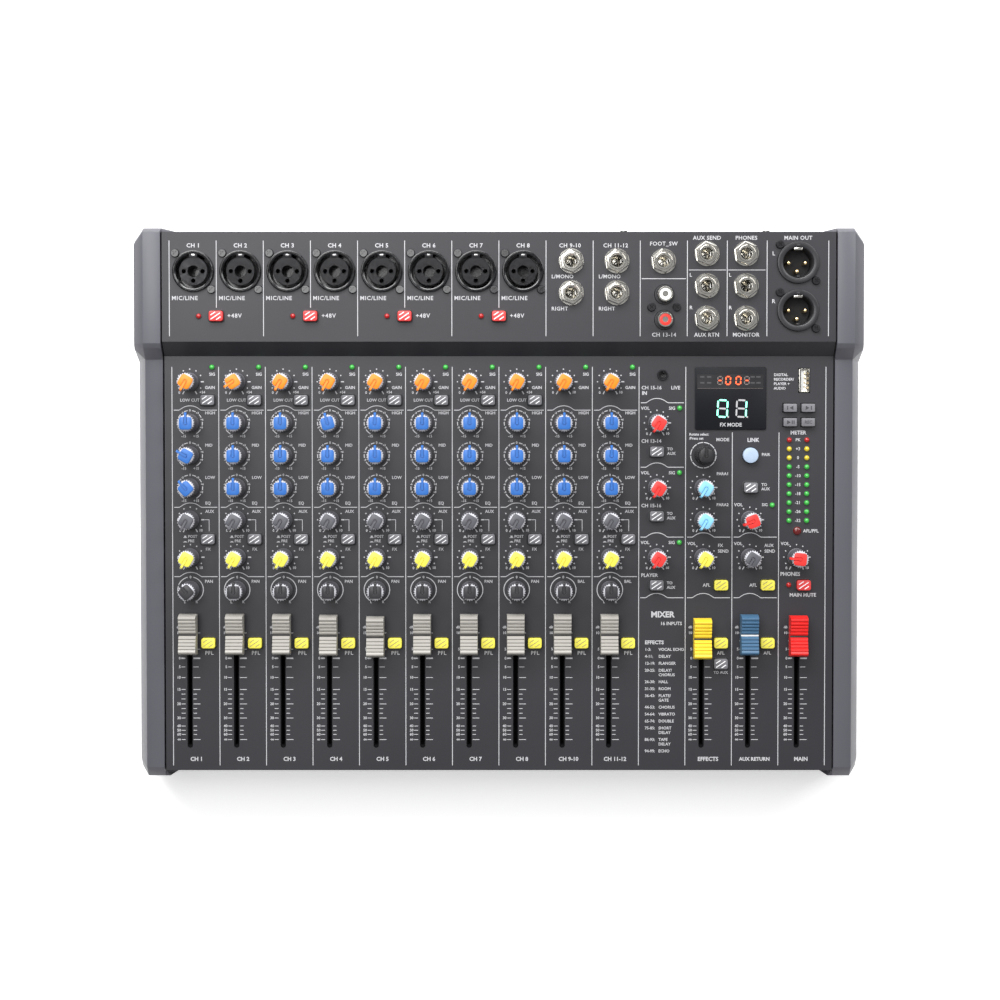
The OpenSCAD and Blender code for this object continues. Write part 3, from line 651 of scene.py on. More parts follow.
class Sheet:
    """Collects printed marks on one plane. Marks are placed at (x, distance down the slope)."""

    def __init__(self):
        self.marks = []
        self.words = {}

    def put(self, mark, x, v, degrees=0):
        self.marks.append(copy_to(mark, at(x, -v, 0, degrees)))

    def say(self, text, x, v, height=LABEL, align="CENTER", bold=0.05, spread=1.0):
        key = (text, height, align, bold, spread)
        if key not in self.words:
            self.words[key] = letters(*key)
        self.put(self.words[key], x, v)

    def rule(self, x0, v0, x1, v1, width=RULE):
        """A straight line along the plane's X or Y."""
        wide, deep = abs(x1 - x0) or width, abs(v1 - v0) or width
        self.marks.append(slab("rule", wide, deep, 0, thickness(), ink(), place=((x0 + x1) / 2, -(v0 + v1) / 2)))

    def done(self, name, plane):
        drop(*self.words.values())
        piece = joined(name, self.marks)
        piece.matrix_world = plane
        only(piece)
        bpy.ops.object.transform_apply(location=True, rotation=True, scale=True)
        return piece


def dotted_dial():
    """Dots every thirty degrees, a short dash at three o'clock and slanted dashes at both ends."""
    radius = bpy.context.scene.console_sizes.dial / MM
    dot = turned("dot", [(0.4, 0), (0.4, thickness())], ink(), 8)
    marks = [copy_to(dot, at(radius * math.sin(math.radians(a)), radius * math.cos(math.radians(a))))
             for a in range(-120, 121, 30) if a != 90]
    drop(dot)
    marks.append(slab("dash", 1.7, 0.62, 0, thickness(), ink(), place=(radius, 0)))
    for side in (-1, 1):
        dash = slab("dash", 0.6, 1.9, 0, thickness(), ink(), place=(0, -radius))
        marks.append(turn(dash, side * 30))
    return joined("dotted_dial", marks)


def tone_dial():
    """Figures every three decibels with short arcs between them."""
    marks = []
    for a in (18.75, 56.25, 93.75):
        for side in (-1, 1):
            marks.append(arc("dash", TONE_RADIUS, side * (a - 8.5), side * (a + 8.5), 0.5, ink(), 3))
    for side in (-1, 1):
        marks.append(arc("dash", TONE_RADIUS, side * 122, side * 150, 0.5, ink(), 5))
        for text, a in (("3", 37.5), ("6", 75), ("9", 112.5)):
            word = letters(("+" if side > 0 else "-") + text, 1.1)
            marks.append(shift(word, side * TONE_RADIUS * math.sin(math.radians(a)),
                               TONE_RADIUS * math.cos(math.radians(a))))
        marks.append(shift(letters("+15" if side > 0 else "-15", FIGURE), side * 3.4, -7.45))
    marks.append(shift(letters("0", 1.35), 0, TONE_RADIUS))
    return joined("tone_dial", marks)


def pan_dial():
    """A solid arc from left to right with a zero at the top."""
    marks = [arc("arc", 7.15, side * 13, side * 148, 0.45, ink(), 14) for side in (-1, 1)]
    marks.append(shift(letters("0", FIGURE), 0, 7.0))
    marks.append(shift(letters("L", FIGURE), -3.3, -6.9))
    marks.append(shift(letters("R", FIGURE), 3.4, -6.9))
    return joined("pan_dial", marks)


def arch():
    """The line under a row, which arches over the next knob."""
    start, end, knob = 0.95, PITCH - 1.0, KNOB_X + 0.1
    bump = [(-6.2, 0), (-5.4, 0.42), (-4.4, 1.15), (-3.3, 1.75), (-2.0, 2.2), (-0.7, 2.4), (0.7, 2.4), (2.0, 2.2),
            (3.3, 1.75), (4.4, 1.15), (5.4, 0.42), (6.2, 0)]
    points = [(start, 0)] + [(knob + x, y) for x, y in bump] + [(end, 0)]
    return stroke("arch", points, RULE, ink())


def fader_scale():
    """Ticks on both sides of a fader's slot with its figures."""
    marks = []
    rows = [(0.0, "10", 1), (4.45, "", 0), (9.1, "5", 1), (14.2, "0", 3), (19.05, "5", 2), (25.0, "10", 1),
            (31.7, "15", 1), (34.3, "", 0), (37.0, "", 0), (39.8, "20", 1), (42.4, "", 0), (45.0, "", 0),
            (47.7, "30", 1), (52.2, "40", 0), (54.6, "50", 0), (56.9, "60", 0), (59.8, "∞", 1)]
    stretch = FADER_TRAVEL / 60
    for down, figure, kind in rows:
        reach = (3.85, 5.75, 4.85, 5.75)[kind]
        width = 0.8 if kind == 3 else 0.36
        for x0, x1 in ((-4.75, -2.55), (1.95, reach)):
            marks.append(slab("tick", x1 - x0, width, 0, thickness(), ink(), place=((x0 + x1) / 2, -down * stretch)))
        if figure:
            word = letters(figure, 1.5, "RIGHT")
            marks.append(shift(word, -5.15, -down * stretch))
    marks.append(shift(letters("dB", 1.4, "RIGHT"), -5.2, 3.2))
    return joined("fader_scale", marks)


class CONSOLE_OT_deck_print(bpy.types.Operator):
    """Prints the lines, dials, scales and words on the deck"""
    bl_idname = "console.deck_print"
    bl_label = "Deck print"

    def execute(self, context):
        sheet = Sheet()
        dots, tone, pan, line, scale = dotted_dial(), tone_dial(), pan_dial(), arch(), fader_scale()
        last = FADER_TOP + FADER_TRAVEL + 14.3
        for k in range(COLUMNS + 1):
            sheet.rule(column(k), 42.4 if k in (12, 13) else 5.9, column(k), last)
        for k in range(STRIPS):
            x = column(k)
            mono = k < MIC_STRIPS
            sheet.say("SIG", x + 22.4, 10.1)
            sheet.put(dots, x + KNOB_X, GAIN_ROW)
            sheet.say("GAIN", x + 18.3, GAIN_ROW + 3.3, align="LEFT")
            sheet.say("0", x + KNOB_X - 5.8, GAIN_ROW + 6.1, FIGURE)
            sheet.say("+54" if mono else "10", x + KNOB_X + (7.0 if mono else 5.9), GAIN_ROW + 5.9, FIGURE)
            if mono:
                sheet.say("LOW CUT", x + 9.9, GAIN_ROW + 10.3)
            sheet.put(line, x, 30.0)
            for name, row in (("HIGH", HIGH_ROW), ("MID", MID_ROW), ("LOW", LOW_ROW)):
                sheet.put(tone, x + KNOB_X, row)
                sheet.say(name, x + 18.3, row - 5.5, align="LEFT")
            sheet.say("EQ", x + 18.3, 81.9, align="LEFT")
            sheet.put(line, x, 84.15)
            sheet.put(dots, x + KNOB_X, AUX_ROW)
            sheet.say("AUX", x + 18.3, AUX_ROW - 4.6, align="LEFT")
            sheet.rule(x + 17.9, AUX_ROW, x + 20.5, AUX_ROW, 0.3)
            sheet.rule(x + 20.4, AUX_ROW, x + 20.4, AUX_ROW + 6.4, 0.3)
            for text, down in (("POST", 9.4), ("PRE", 11.9)):
                sheet.say(text, x + 8.6, AUX_ROW + down, 1.55, "LEFT")
                tall = 1.1 if text == "POST" else 0.5
                sheet.rule(x + 6.0, AUX_ROW + down + 0.6, x + 8.1, AUX_ROW + down + 0.6, 0.3)
                sheet.marks.append(slab("icon", 1.1, tall, 0, thickness(), ink(),
                                        place=(x + 7.05, -(AUX_ROW + down + 0.6 - tall / 2))))
            sheet.put(dots, x + KNOB_X, EFFECTS_ROW)
            sheet.say("FX", x + 18.4, EFFECTS_ROW - 4.4, align="LEFT")
            for row in (AUX_ROW, EFFECTS_ROW):
                sheet.say("0", x + KNOB_X - 5.6, row + 6.1, FIGURE)
                sheet.say("10", x + KNOB_X + 5.9, row + 6.0, FIGURE)
            sheet.put(line, x, 122.9)
            sheet.put(pan, x + KNOB_X, PAN_ROW)
            sheet.say("PAN" if mono else "BAL", x + 17.9, PAN_ROW - 4.6, align="LEFT")
            sheet.say("PFL", x + 20.2, FADER_TOP + 11.3, 2.1, spread=1.15)
            names = ["CH 9-10", "CH 11-12"]
            sheet.say(f"CH {k + 1}" if mono else names[k - MIC_STRIPS], x + 12.9, FADER_TOP + 70.8, 2.25, bold=0.1)
            sheet.put(scale, x + FADER_X, FADER_TOP)
        self.returns(sheet, dots, line)
        self.masters(sheet, dots, line, scale)
        drop(dots, tone, pan, line, scale)
        settle(sheet.done("deck_print", DECK), "case", "steel")
        return {"FINISHED"}

    def returns(self, sheet, dots, line):
        """The column of stereo returns with the list of effects."""
        x = column(10)
        sheet.say("CH 15-16", x + 1.35, 17.6, 2.0, "LEFT")
        sheet.say("IN", x + 1.6, 20.6, 2.0, "LEFT", 0.1)
        sheet.say("LIVE", x + 17.8, 17.6, 2.0, "LEFT")
        for row, name, top, down in ((HIGH_ROW, "CH 13-14", 25.9, 15.8), (LOW_ROW, "CH 15-16", 61.8, 15.8),
                                     (EFFECTS_ROW, "PLAYER", 100.8, 15.7)):
            sheet.put(line, x, top)
            sheet.put(dots, x + 10, row)
            sheet.say("VOL", x + 1.1, row - 8.1, 1.8, "LEFT")
            sheet.say("SIG", x + 18.4, row - 8.1, 1.8)
            sheet.say("0", x + 4.5, row + 6.1, FIGURE)
            sheet.say("10", x + 15.9, row + 6.0, FIGURE)
            sheet.say(name, x + 1.3, row + 10.2, 2.0, "LEFT")
            sheet.say("TO", x + 15.7, row + down - 1.2, 1.6, "LEFT")
            sheet.say("AUX", x + 15.7, row + down + 1.3, 1.6, "LEFT")
        sheet.put(line, x, 134.7)
        sheet.say("MIXER", x + 13.4, 144.2, 3.3, bold=0.16)
        sheet.say("16 INPUTS", x + 24.2, 149.2, 1.9, "RIGHT")
        rows = [("EFFECTS", ""), ("1-3:", "VOCAL ECHO"), ("4-11:", "DELAY"), ("12-19:", "FLANGER"),
                ("20-25:", "DELAY/"), ("", "CHORUS"), ("26-30:", "HALL"), ("31-35:", "ROOM"), ("36-43:", "PLATE/"),
                ("", "GATE"), ("44-53:", "CHORUS"), ("54-64:", "VIBRATO"), ("65-74:", "DOUBLE"), ("75-85:", "SHORT"),
                ("", "DELAY"), ("86-93:", "TAPE"), ("", "DELAY"), ("94-99:", "ECHO")]
        down = FADER_TOP + 5.4
        for i, (span_text, effect) in enumerate(rows):
            if i:
                down += 2.55 if not span_text else 3.9
            if not effect:
                sheet.say(span_text, x + 3.5, down, 2.05, "LEFT", 0.1)
            else:
                if span_text:
                    sheet.say(span_text, x + 3.5, down, 1.62, "LEFT")
                sheet.say(effect, x + 11.2, down, 1.62, "LEFT")

    def masters(self, sheet, dots, line, scale):
        """The columns of the effects, the returns and the main output."""
        x = column(11)
        for i, text in enumerate(("Rotate select", "/Press set")):
            sheet.say(text, x + 2.0, 43.5 + 2.25 * i, FIGURE, "LEFT")
        sheet.say("MODE", x + 17.0, 46.5, 1.85, "LEFT")
        for a in range(12):
            sheet.marks.append(move_by(arc("ring", 7.1, a * 30 + 2, a * 30 + 28, 0.5, ink(), 4),
                                       at(x + KNOB_X, -MID_ROW)))
        sheet.say("PARA1", x + 17.3, LOW_ROW - 7.6, 1.65, "LEFT")
        sheet.say("PARA2", x + 17.3, AUX_ROW - 8.3, 1.65, "LEFT")
        for row in (LOW_ROW, AUX_ROW):
            sheet.put(dots, x + KNOB_X, row)
            sheet.say("0", x + KNOB_X - 5.5, row + 6.1, FIGURE)
            sheet.say("10", x + KNOB_X + 5.9, row + 6.0, FIGURE)
        for k, name in ((11, "FX"), (12, "AUX")):
            x = column(k)
            sheet.put(line, x, 100.8)
            sheet.put(dots, x + KNOB_X, EFFECTS_ROW)
            sheet.say("VOL", x + 1.1, EFFECTS_ROW - 7.5, 1.75, "LEFT")
            sheet.say(name, x + 18.1, EFFECTS_ROW - 6.5, 1.75, "LEFT")
            sheet.say("SEND", x + 18.1, EFFECTS_ROW - 3.3, 1.75, "LEFT")
            sheet.say("0", x + KNOB_X - 5.5, EFFECTS_ROW + 6.1, FIGURE)
            sheet.say("10", x + KNOB_X + 5.9, EFFECTS_ROW + 6.0, FIGURE)
            sheet.say("AFL", x + 11.9, EFFECTS_ROW + 15.7, 1.85)
            sheet.put(line, x, 134.7)
            sheet.say("AFL", x + 19.9, FADER_TOP + 11.3, 1.85)
        sheet.say("TO AUX", column(11) + 19.9, FADER_TOP + 22.2, 1.5)
        x = column(12)
        sheet.say("LINK", x + 11.6, 46.7, 2.15, bold=0.1)
        sheet.say("PAIR", x + 16.4, MID_ROW - 0.3, 1.65, "LEFT")
        for i, text in enumerate(("TO", "AUX")):
            sheet.say(text, x + 16.3, LOW_ROW - 1.5 + 2.4 * i, 1.6, "LEFT")
        sheet.say("VOL", x + 1.1, AUX_ROW - 8.3, 1.8, "LEFT")
        sheet.say("SIG", x + 18.2, AUX_ROW - 8.3, 1.65)
        sheet.put(dots, x + KNOB_X, AUX_ROW)
        sheet.say("0", x + KNOB_X - 5.5, AUX_ROW + 6.1, FIGURE)
        sheet.say("10", x + KNOB_X + 5.9, AUX_ROW + 6.0, FIGURE)
        x = column(13)
        for i, text in enumerate(("DIGITAL", "RECORDER/", "PLAYER +", "AUDIO")):
            sheet.say(text, x - 3.0, 10.4 + 2.5 * i, 1.5, "LEFT")
        sheet.say("METER", x + 10.7, 42.6, 2.1, bold=0.08)
        for i, text in enumerate(("PK", "+3", "0", "-5", "-10", "-15", "-18", "-21", "-26", "-32")):
            sheet.say(text, x + 10.6, HIGH_ROW + 9.5 + 5 * i, 1.7)
        sheet.say("AFL/PFL", x + 13.6, 97.4, 1.85, "LEFT")
        sheet.put(dots, x + 10, EFFECTS_ROW)
        sheet.say("VOL", x + 1.2, EFFECTS_ROW - 7.5, 1.8, "LEFT")
        sheet.say("0", x + 4.4, EFFECTS_ROW + 6.1, FIGURE)
        sheet.say("10", x + 15.9, EFFECTS_ROW + 6.0, FIGURE)
        sheet.say("PHONES", x + 1.0, EFFECTS_ROW + 9.5, 2.1, "LEFT", 0.08)
        sheet.say("MAIN MUTE", x + 13.6, EFFECTS_ROW + 21.2, 2.0, bold=0.08)
        for k, name in ((11, "EFFECTS"), (12, "AUX RETURN"), (13, "MAIN")):
            fader = {11: "fader_effects", 12: "fader_return", 13: "fader_main"}[k]
            sheet.put(scale, centre(tallest(fader, DECK)).x, FADER_TOP)
            sheet.say(name, column(k) + 12.9, FADER_TOP + 70.8, 2.25 if k != 12 else 2.0, bold=0.1)


class CONSOLE_OT_panel_print(bpy.types.Operator):
    """Prints the lines and words round the sockets"""
    bl_idname = "console.panel_print"
    bl_label = "Panel print"

    def execute(self, context):
        sheet = Sheet()
        for k in range(COLUMNS - 2):
            sheet.rule(column(k), 5, column(k), 42 if k in (1, 3, 5, 7) else 57.7)
        for x in (column(11) + 22, column(11) + 44, column(14)):
            sheet.rule(x, 5, x, 57.7)
        for k in range(MIC_STRIPS):
            sheet.say(f"CH {k + 1}", column(k) + 13.3, 7.8, 2.3, bold=0.08, spread=1.08)
            sheet.say("MIC/LINE", column(k) + 1.3, 36.8, 2.3, "LEFT", spread=1.14)
        for k in range(1, MIC_STRIPS, 2):
            sheet.say("+48V", column(k) + 6.0, 46.5, 2.35, "LEFT", spread=1.16)
        for k, name, dx in ((8, "CH 9-10", 13.9), (9, "CH 11-12", 13.1)):
            sheet.say(name, column(k) + dx - 0.7, 7.8, 2.25, spread=1.1)
            sheet.say("L/MONO", column(k) + 3.0, 24.9, 2.1, "LEFT", spread=1.08)
            sheet.say("RIGHT", column(k) + 3.0, 42.6, 2.1, "LEFT", spread=1.1)
        x = column(10)
        sheet.say("FOOT_SW", x + 12.9, 6.8, 2.2, spread=1.1)
        sheet.rule(x + 0.8, 26, x + PITCH - 0.8, 26)
        sheet.say("CH 13-14", x + 13.2, 57.0, 2.2, spread=1.1)
        for x in (10.8, 32.5):
            sheet.rule(column(11) + x - 10, 21.2, column(11) + x + 10.6, 21.2, 0.35)
        for x, top, low in ((10.8, "AUX SEND", "AUX RTN"), (32.5, "PHONES", "MONITOR")):
            sheet.say(top, column(11) + x, 3.6, 2.2, spread=1.06)
            sheet.say(low, column(11) + x, 57.0, 2.2, spread=1.06)
            for text, down in (("L", 24.0), ("R", 42.0)):
                sheet.say(text, column(11) + x - 9.6, down, 2.0, "LEFT")
        x = column(14) - 16.9
        sheet.say("MAIN OUT", x, 3.6, 2.2, spread=1.06)
        for text, down in (("L", 12.2), ("R", 38.5)):
            sheet.say(text, x - 13.5, down, 2.2)
        settle(sheet.done("panel_print", PANEL), "case", "steel")
        return {"FINISHED"}


# ---------------------------------------------------------------- knobs

def ribbed(piece, sides, low, high, factor):
    """Pushes every second upright of a turned body in or out between two heights."""
    def every_second(v, mesh):
        turn_share = math.atan2(v.co.y, v.co.x) / (2 * math.pi) * sides
        return low < v.co.z / MM < high and round(turn_share) % 2 == 1
    pick(piece, every_second)
    bpy.ops.transform.resize(value=(factor, factor, 1), center_override=(0, 0, 0))
    bpy.ops.object.mode_set(mode="OBJECT")


# corners round a knob's barrel and crown: every second one is moved to make a rib or a tooth
BARREL_RIBS = 48
CROWN_TEETH = 44
KNOB_FOOT = 0.85
FOOT_GAP = 0.05


def knob_master(cap, body=None, crown=None, foot=KNOB_FOOT):
    """A ribbed knob with a toothed crown, a coloured cap and a pointer towards +Y."""
    body = body or grained("Knob body", colours().body, 0.5, 0.08, 0.05, 2200, 0.3, 0.02, 120)
    crown = crown or grained("Knob crown", colours().crown, 0.45, 0.04, 0.04, 2200, 0.1, 0.01, 120)
    barrel = turned("barrel", [(5.05, foot), (5.1, foot + 0.25), (5.1, foot + 1.05), (4.9, foot + 1.35),
                               (4.65, 14.0), (4.4, 14.3), (4.3, 14.3)], body, BARREL_RIBS, 30)
    ribbed(barrel, BARREL_RIBS, foot + 1.25, 14.1, 0.945)
    ring = turned("crown", [(4.1, 13.6), (4.15, 13.9), (4.15, 14.9), (4.0, 15.25), (3.9, 15.3)], crown, CROWN_TEETH,
                  30)
    ribbed(ring, CROWN_TEETH, 13.8, 15.0, 1.2)
    top = slab("cap", 7.0, 7.0, 14.6, 16.1, cap, 1.6, 0.35, segments=4)
    top = cut(top, [slab("groove", 2.1, 6.0, 15.55, 17, cap, place=(0, 3.02))])
    top = cut(top, [turned("end", [(1.25, 15.6), (1.25, 16.9)], cap, 20)])
    pointer = swept("pointer", [(0.2, 0.55, 15.4, 16.2), (5.0, 0.62, 15.3, 16.3), (5.4, 0.62, 13.6, 16.0),
                                (5.9, 0.58, 13.5, 15.2)], cap)
    eye = turned("eye", [(0.75, 15.4), (0.75, 16.1), (0.6, 16.25), (0.35, 16.2)], cap, 16)
    return joined("knob", [barrel, ring, top, pointer, eye])


def knob_pose(points):
    """Place and turn of a CAD knob, from its foot and the tip of its pointer."""
    low, high = span(points)
    foot = [p for p in points if p.z < low.z + 0.02]
    crown = [p for p in points if p.z > high.z - 0.02]
    middle = centre(foot)
    tip = max(crown, key=lambda p: (p - middle).xy.length)
    tips = [p for p in crown if (p - middle).xy.length > (tip - middle).xy.length - 0.05]
    way = centre(tips) - middle
    return middle.x, middle.y, low.z, math.degrees(math.atan2(way.y, way.x)) - 90


ROW_COLOURS = (("gain_knob", "knob_orange", "orange", GAIN_ROW), ("high_knob", "knob_blue", "blue", HIGH_ROW),
               ("mid_knob", "knob_blue", "blue", MID_ROW), ("low_knob", "knob_blue", "blue", LOW_ROW),
               ("aux_knob", "knob_grey", "grey", AUX_ROW), ("effects_knob", "knob_yellow", "yellow", EFFECTS_ROW),
               ("pan_knob", "knob_dark", "dark", PAN_ROW))
MASTER_COLOURS = (("volume_13_14_knob", "knob_red", "red"), ("volume_15_16_knob", "knob_red", "red"),
                  ("player_volume_knob", "knob_red", "red"), ("wireless_volume_knob", "knob_red", "red"),
                  ("phones_knob", "knob_red", "red"), ("parameter_1_knob", "knob_pale", "pale"),
                  ("parameter_2_knob", "knob_pale", "pale"), ("effects_send_knob", "knob_yellow", "yellow"),
                  ("aux_send_knob", "knob_grey", "grey"))


class CONSOLE_OT_knobs(bpy.types.Operator):
    """Makes the eighty rotary knobs"""
    bl_idname = "console.knobs"
    bl_label = "Knobs"

    def execute(self, context):
        masters = {}
        for shade_name in ("orange", "blue", "grey", "yellow", "dark", "red", "pale"):
            cap = grained(f"Cap {shade_name}", getattr(colours(), shade_name), 0.38, 0.04, 0.04, 2000, 0.12, 0.01, 150)
            masters[shade_name] = knob_master(cap)
        strip = [knob_pose(points) for points in solids("channel_knobs", DECK)]
        for node, slot_name, shade_name, row in ROW_COLOURS:
            copies = [copy_to(masters[shade_name], DECK @ at(x, y, 0, a)) for x, y, z, a in strip if abs(y + row) < 2]
            settle(joined(f"strip_{node}s", copies), "case", slot_name, "channel_knobs")
            self.moving(masters, f"{node}_1", slot_name, shade_name)
        for node, slot_name, shade_name in MASTER_COLOURS:
            self.moving(masters, node, slot_name, shade_name)
        drop(*masters.values())
        dark = grained("Cap mode", (0.012, 0.012, 0.014), 0.42, 0.1, 0.05, 2000, 0.25, 0.02, 150)
        x, y, z, a = knob_pose(tallest("mode_knob", DECK))
        mode = knob_master(dark, dark, dark, z + FOOT_GAP)
        settle(joined("mode_knob_detail", [move_by(mode, DECK @ at(x, y, 0, a))]), "mode_knob", "knob_dark",
               "mode_knob")
        return {"FINISHED"}

    def moving(self, masters, node, slot_name, shade_name):
        """A knob that turns, on the potentiometer's shaft."""
        x, y, _, a = knob_pose(tallest(node, DECK))
        low = span(min(solids(node, DECK), key=lambda g: min(p.z for p in g)))[0].z
        top = copy_to(masters[shade_name], DECK @ at(x, y, 0, a))
        shaft = turned("shaft", [(2.7, low), (2.98, low + 0.4), (2.98, 11.9)], tin(), 24)
        piece = joined(f"{node}_detail", [top, move_by(shaft, DECK @ at(x, y))])
        settle(piece, node, slot_name, node)


# ---------------------------------------------------------------- faders

def fader_master(cap, mark):
    """A fader cap with steep ends, cross ridges and a line across its dip, on its metal lever."""
    low, top = 3.55, 11.45
    side = [(11.25, 4.8), (11.2, 7.9), (10.3, 10.7), (9.9, 11.3), (9.3, top), (8.7, 11.25)]
    for i in range(4):
        y = 8.0 - i * 1.85
        base = 8.7 + 0.25 * y
        side += [(y, base), (y - 0.35, base + 0.5), (y - 1.15, base + 0.34)]
    side += [(0.55, 8.75), (0.5, 8.5)]
    profile = [(-y, z) for y, z in side] + [(y, z) for y, z in reversed(side)]
    body = swept("cap", [(y, 5.05 if z < 8 else 4.95, low, z) for y, z in profile], cap)
    pick(body, lambda v, m: v.co.z > (low + 1) * MM)
    bpy.ops.transform.resize(value=(0.965, 1, 1), center_override=(0, 0, 0))
    bpy.ops.object.mode_set(mode="OBJECT")
    line = slab("line", 9.6, 0.9, 8.0, 8.78, mark, edge=0.05)
    lever = slab("lever", 1.16, 3.9, -10.6, 4.2, tin(), edge=0.1)
    return joined("fader", [soften(body, 0.12, 1, 50), line, lever])


FADERS = [(f"fader_{k}", "cap_beige", "beige") for k in [1, 2, 3, 4, 5, 6, 7, 8, "9_10", "11_12"]]
FADERS += [("fader_effects", "cap_yellow", "cap_yellow"), ("fader_return", "cap_slate", "cap_slate"),
           ("fader_main", "cap_red", "cap_red")]


class CONSOLE_OT_faders(bpy.types.Operator):
    """Makes the thirteen fader caps with their levers"""
    bl_idname = "console.faders"
    bl_label = "Faders"

    def execute(self, context):
        dark = grained("Fader line dark", (0.03, 0.028, 0.028), 0.5, 0.05, 0.04, 2000, 0.1, 0.01, 80)
        white = grained("Fader line white", (0.8, 0.8, 0.8), 0.5, 0.05, 0.04, 2000, 0.1, 0.01, 80)
        masters = {}
        for node, slot_name, shade_name in FADERS:
            if shade_name not in masters:
                cap = grained(f"Fader {shade_name}", getattr(colours(), shade_name), 0.4, 0.04, 0.05, 1500, 0.12,
                              0.015, 60)
                masters[shade_name] = fader_master(cap, white if shade_name == "cap_slate" else dark)
            place = centre(tallest(node, DECK))
            piece = joined(f"{node}_cap", [copy_to(masters[shade_name], DECK @ at(place.x, place.y))])
            settle(piece, node, slot_name, node)
        drop(*masters.values())
        return {"FINISHED"}


# ---------------------------------------------------------------- buttons

# radius of a button's stem, and height of a key's underside, in millimetres
STEM = 1.45
KEY_FOOT = -3.5


def striped_key(name, cap, mark, wide, deep, low, high, stem):
    """A push-button with rounded corners and three slanted stripes."""
    parts = [slab(name, wide, deep, low, high, cap, 1.15, 0.35, segments=3)]
    width = bpy.context.scene.console_sizes.stripe / MM
    for x, y, reach in ((-1.55, 1.3, 3.1), (-0.2, -0.1, 6.3), (1.5, -1.25, 2.9)):
        bar = slab("stripe", reach, width, high - 0.1, high + 0.03, mark)
        parts.append(shift(turn(bar, 34), x, y))
    parts.append(turned("stem", [(STEM, stem), (STEM, low + 0.05)], cap, 12))
    return joined(name, parts)


def spread(master, node, plane, name, slot_name, body=None):
    """A copy of the master on each tall solid of a CAD node."""
    copies = [copy_to(master, plane @ at(centre(p).x, centre(p).y)) for p in solids(node, plane)]
    drop(master)
    return settle(joined(name, copies), body or node, slot_name, node)


class CONSOLE_OT_button_gap_shades(bpy.types.Operator):
    """Makes matt black rings round the push-buttons: painted shade for the shaded gaps of the cutouts that the keys
    sit in
    """
    bl_idname = "console.button_frames"
    bl_label = "Button gap shades"

    def execute(self, context):
        black = matt_black()
        gap_shade_rings = []
        for nodes, plane in ((("low_cut_buttons", "pre_post_buttons", "to_aux_buttons", "listen_buttons",
                               "mute_button"), DECK), (("phantom_buttons",), PANEL)):
            low, high = span(solids(nodes[0], plane)[0])
            wide, deep = high.x - low.x, high.y - low.y
            # painted shade: a thin matt black ring laid on the panel where the real cutout round each key shows only a
            # shaded gap
            gap_shade_ring = slab("frame", wide + 1.7, deep + 1.7, 0.0, 0.25, black, 1.8, 0.1)
            gap_shade_ring = cut(gap_shade_ring, [slab("tool", wide + 0.5, deep + 0.5, -1, 1, black, 1.3)])
            for node in nodes:
                for points in solids(node, plane):
                    c = centre(points)
                    gap_shade_rings.append(copy_to(gap_shade_ring, plane @ at(c.x, c.y)))
            drop(gap_shade_ring)
        settle(joined("button_gap_shades", gap_shade_rings), "case", "socket_black")
        return {"FINISHED"}


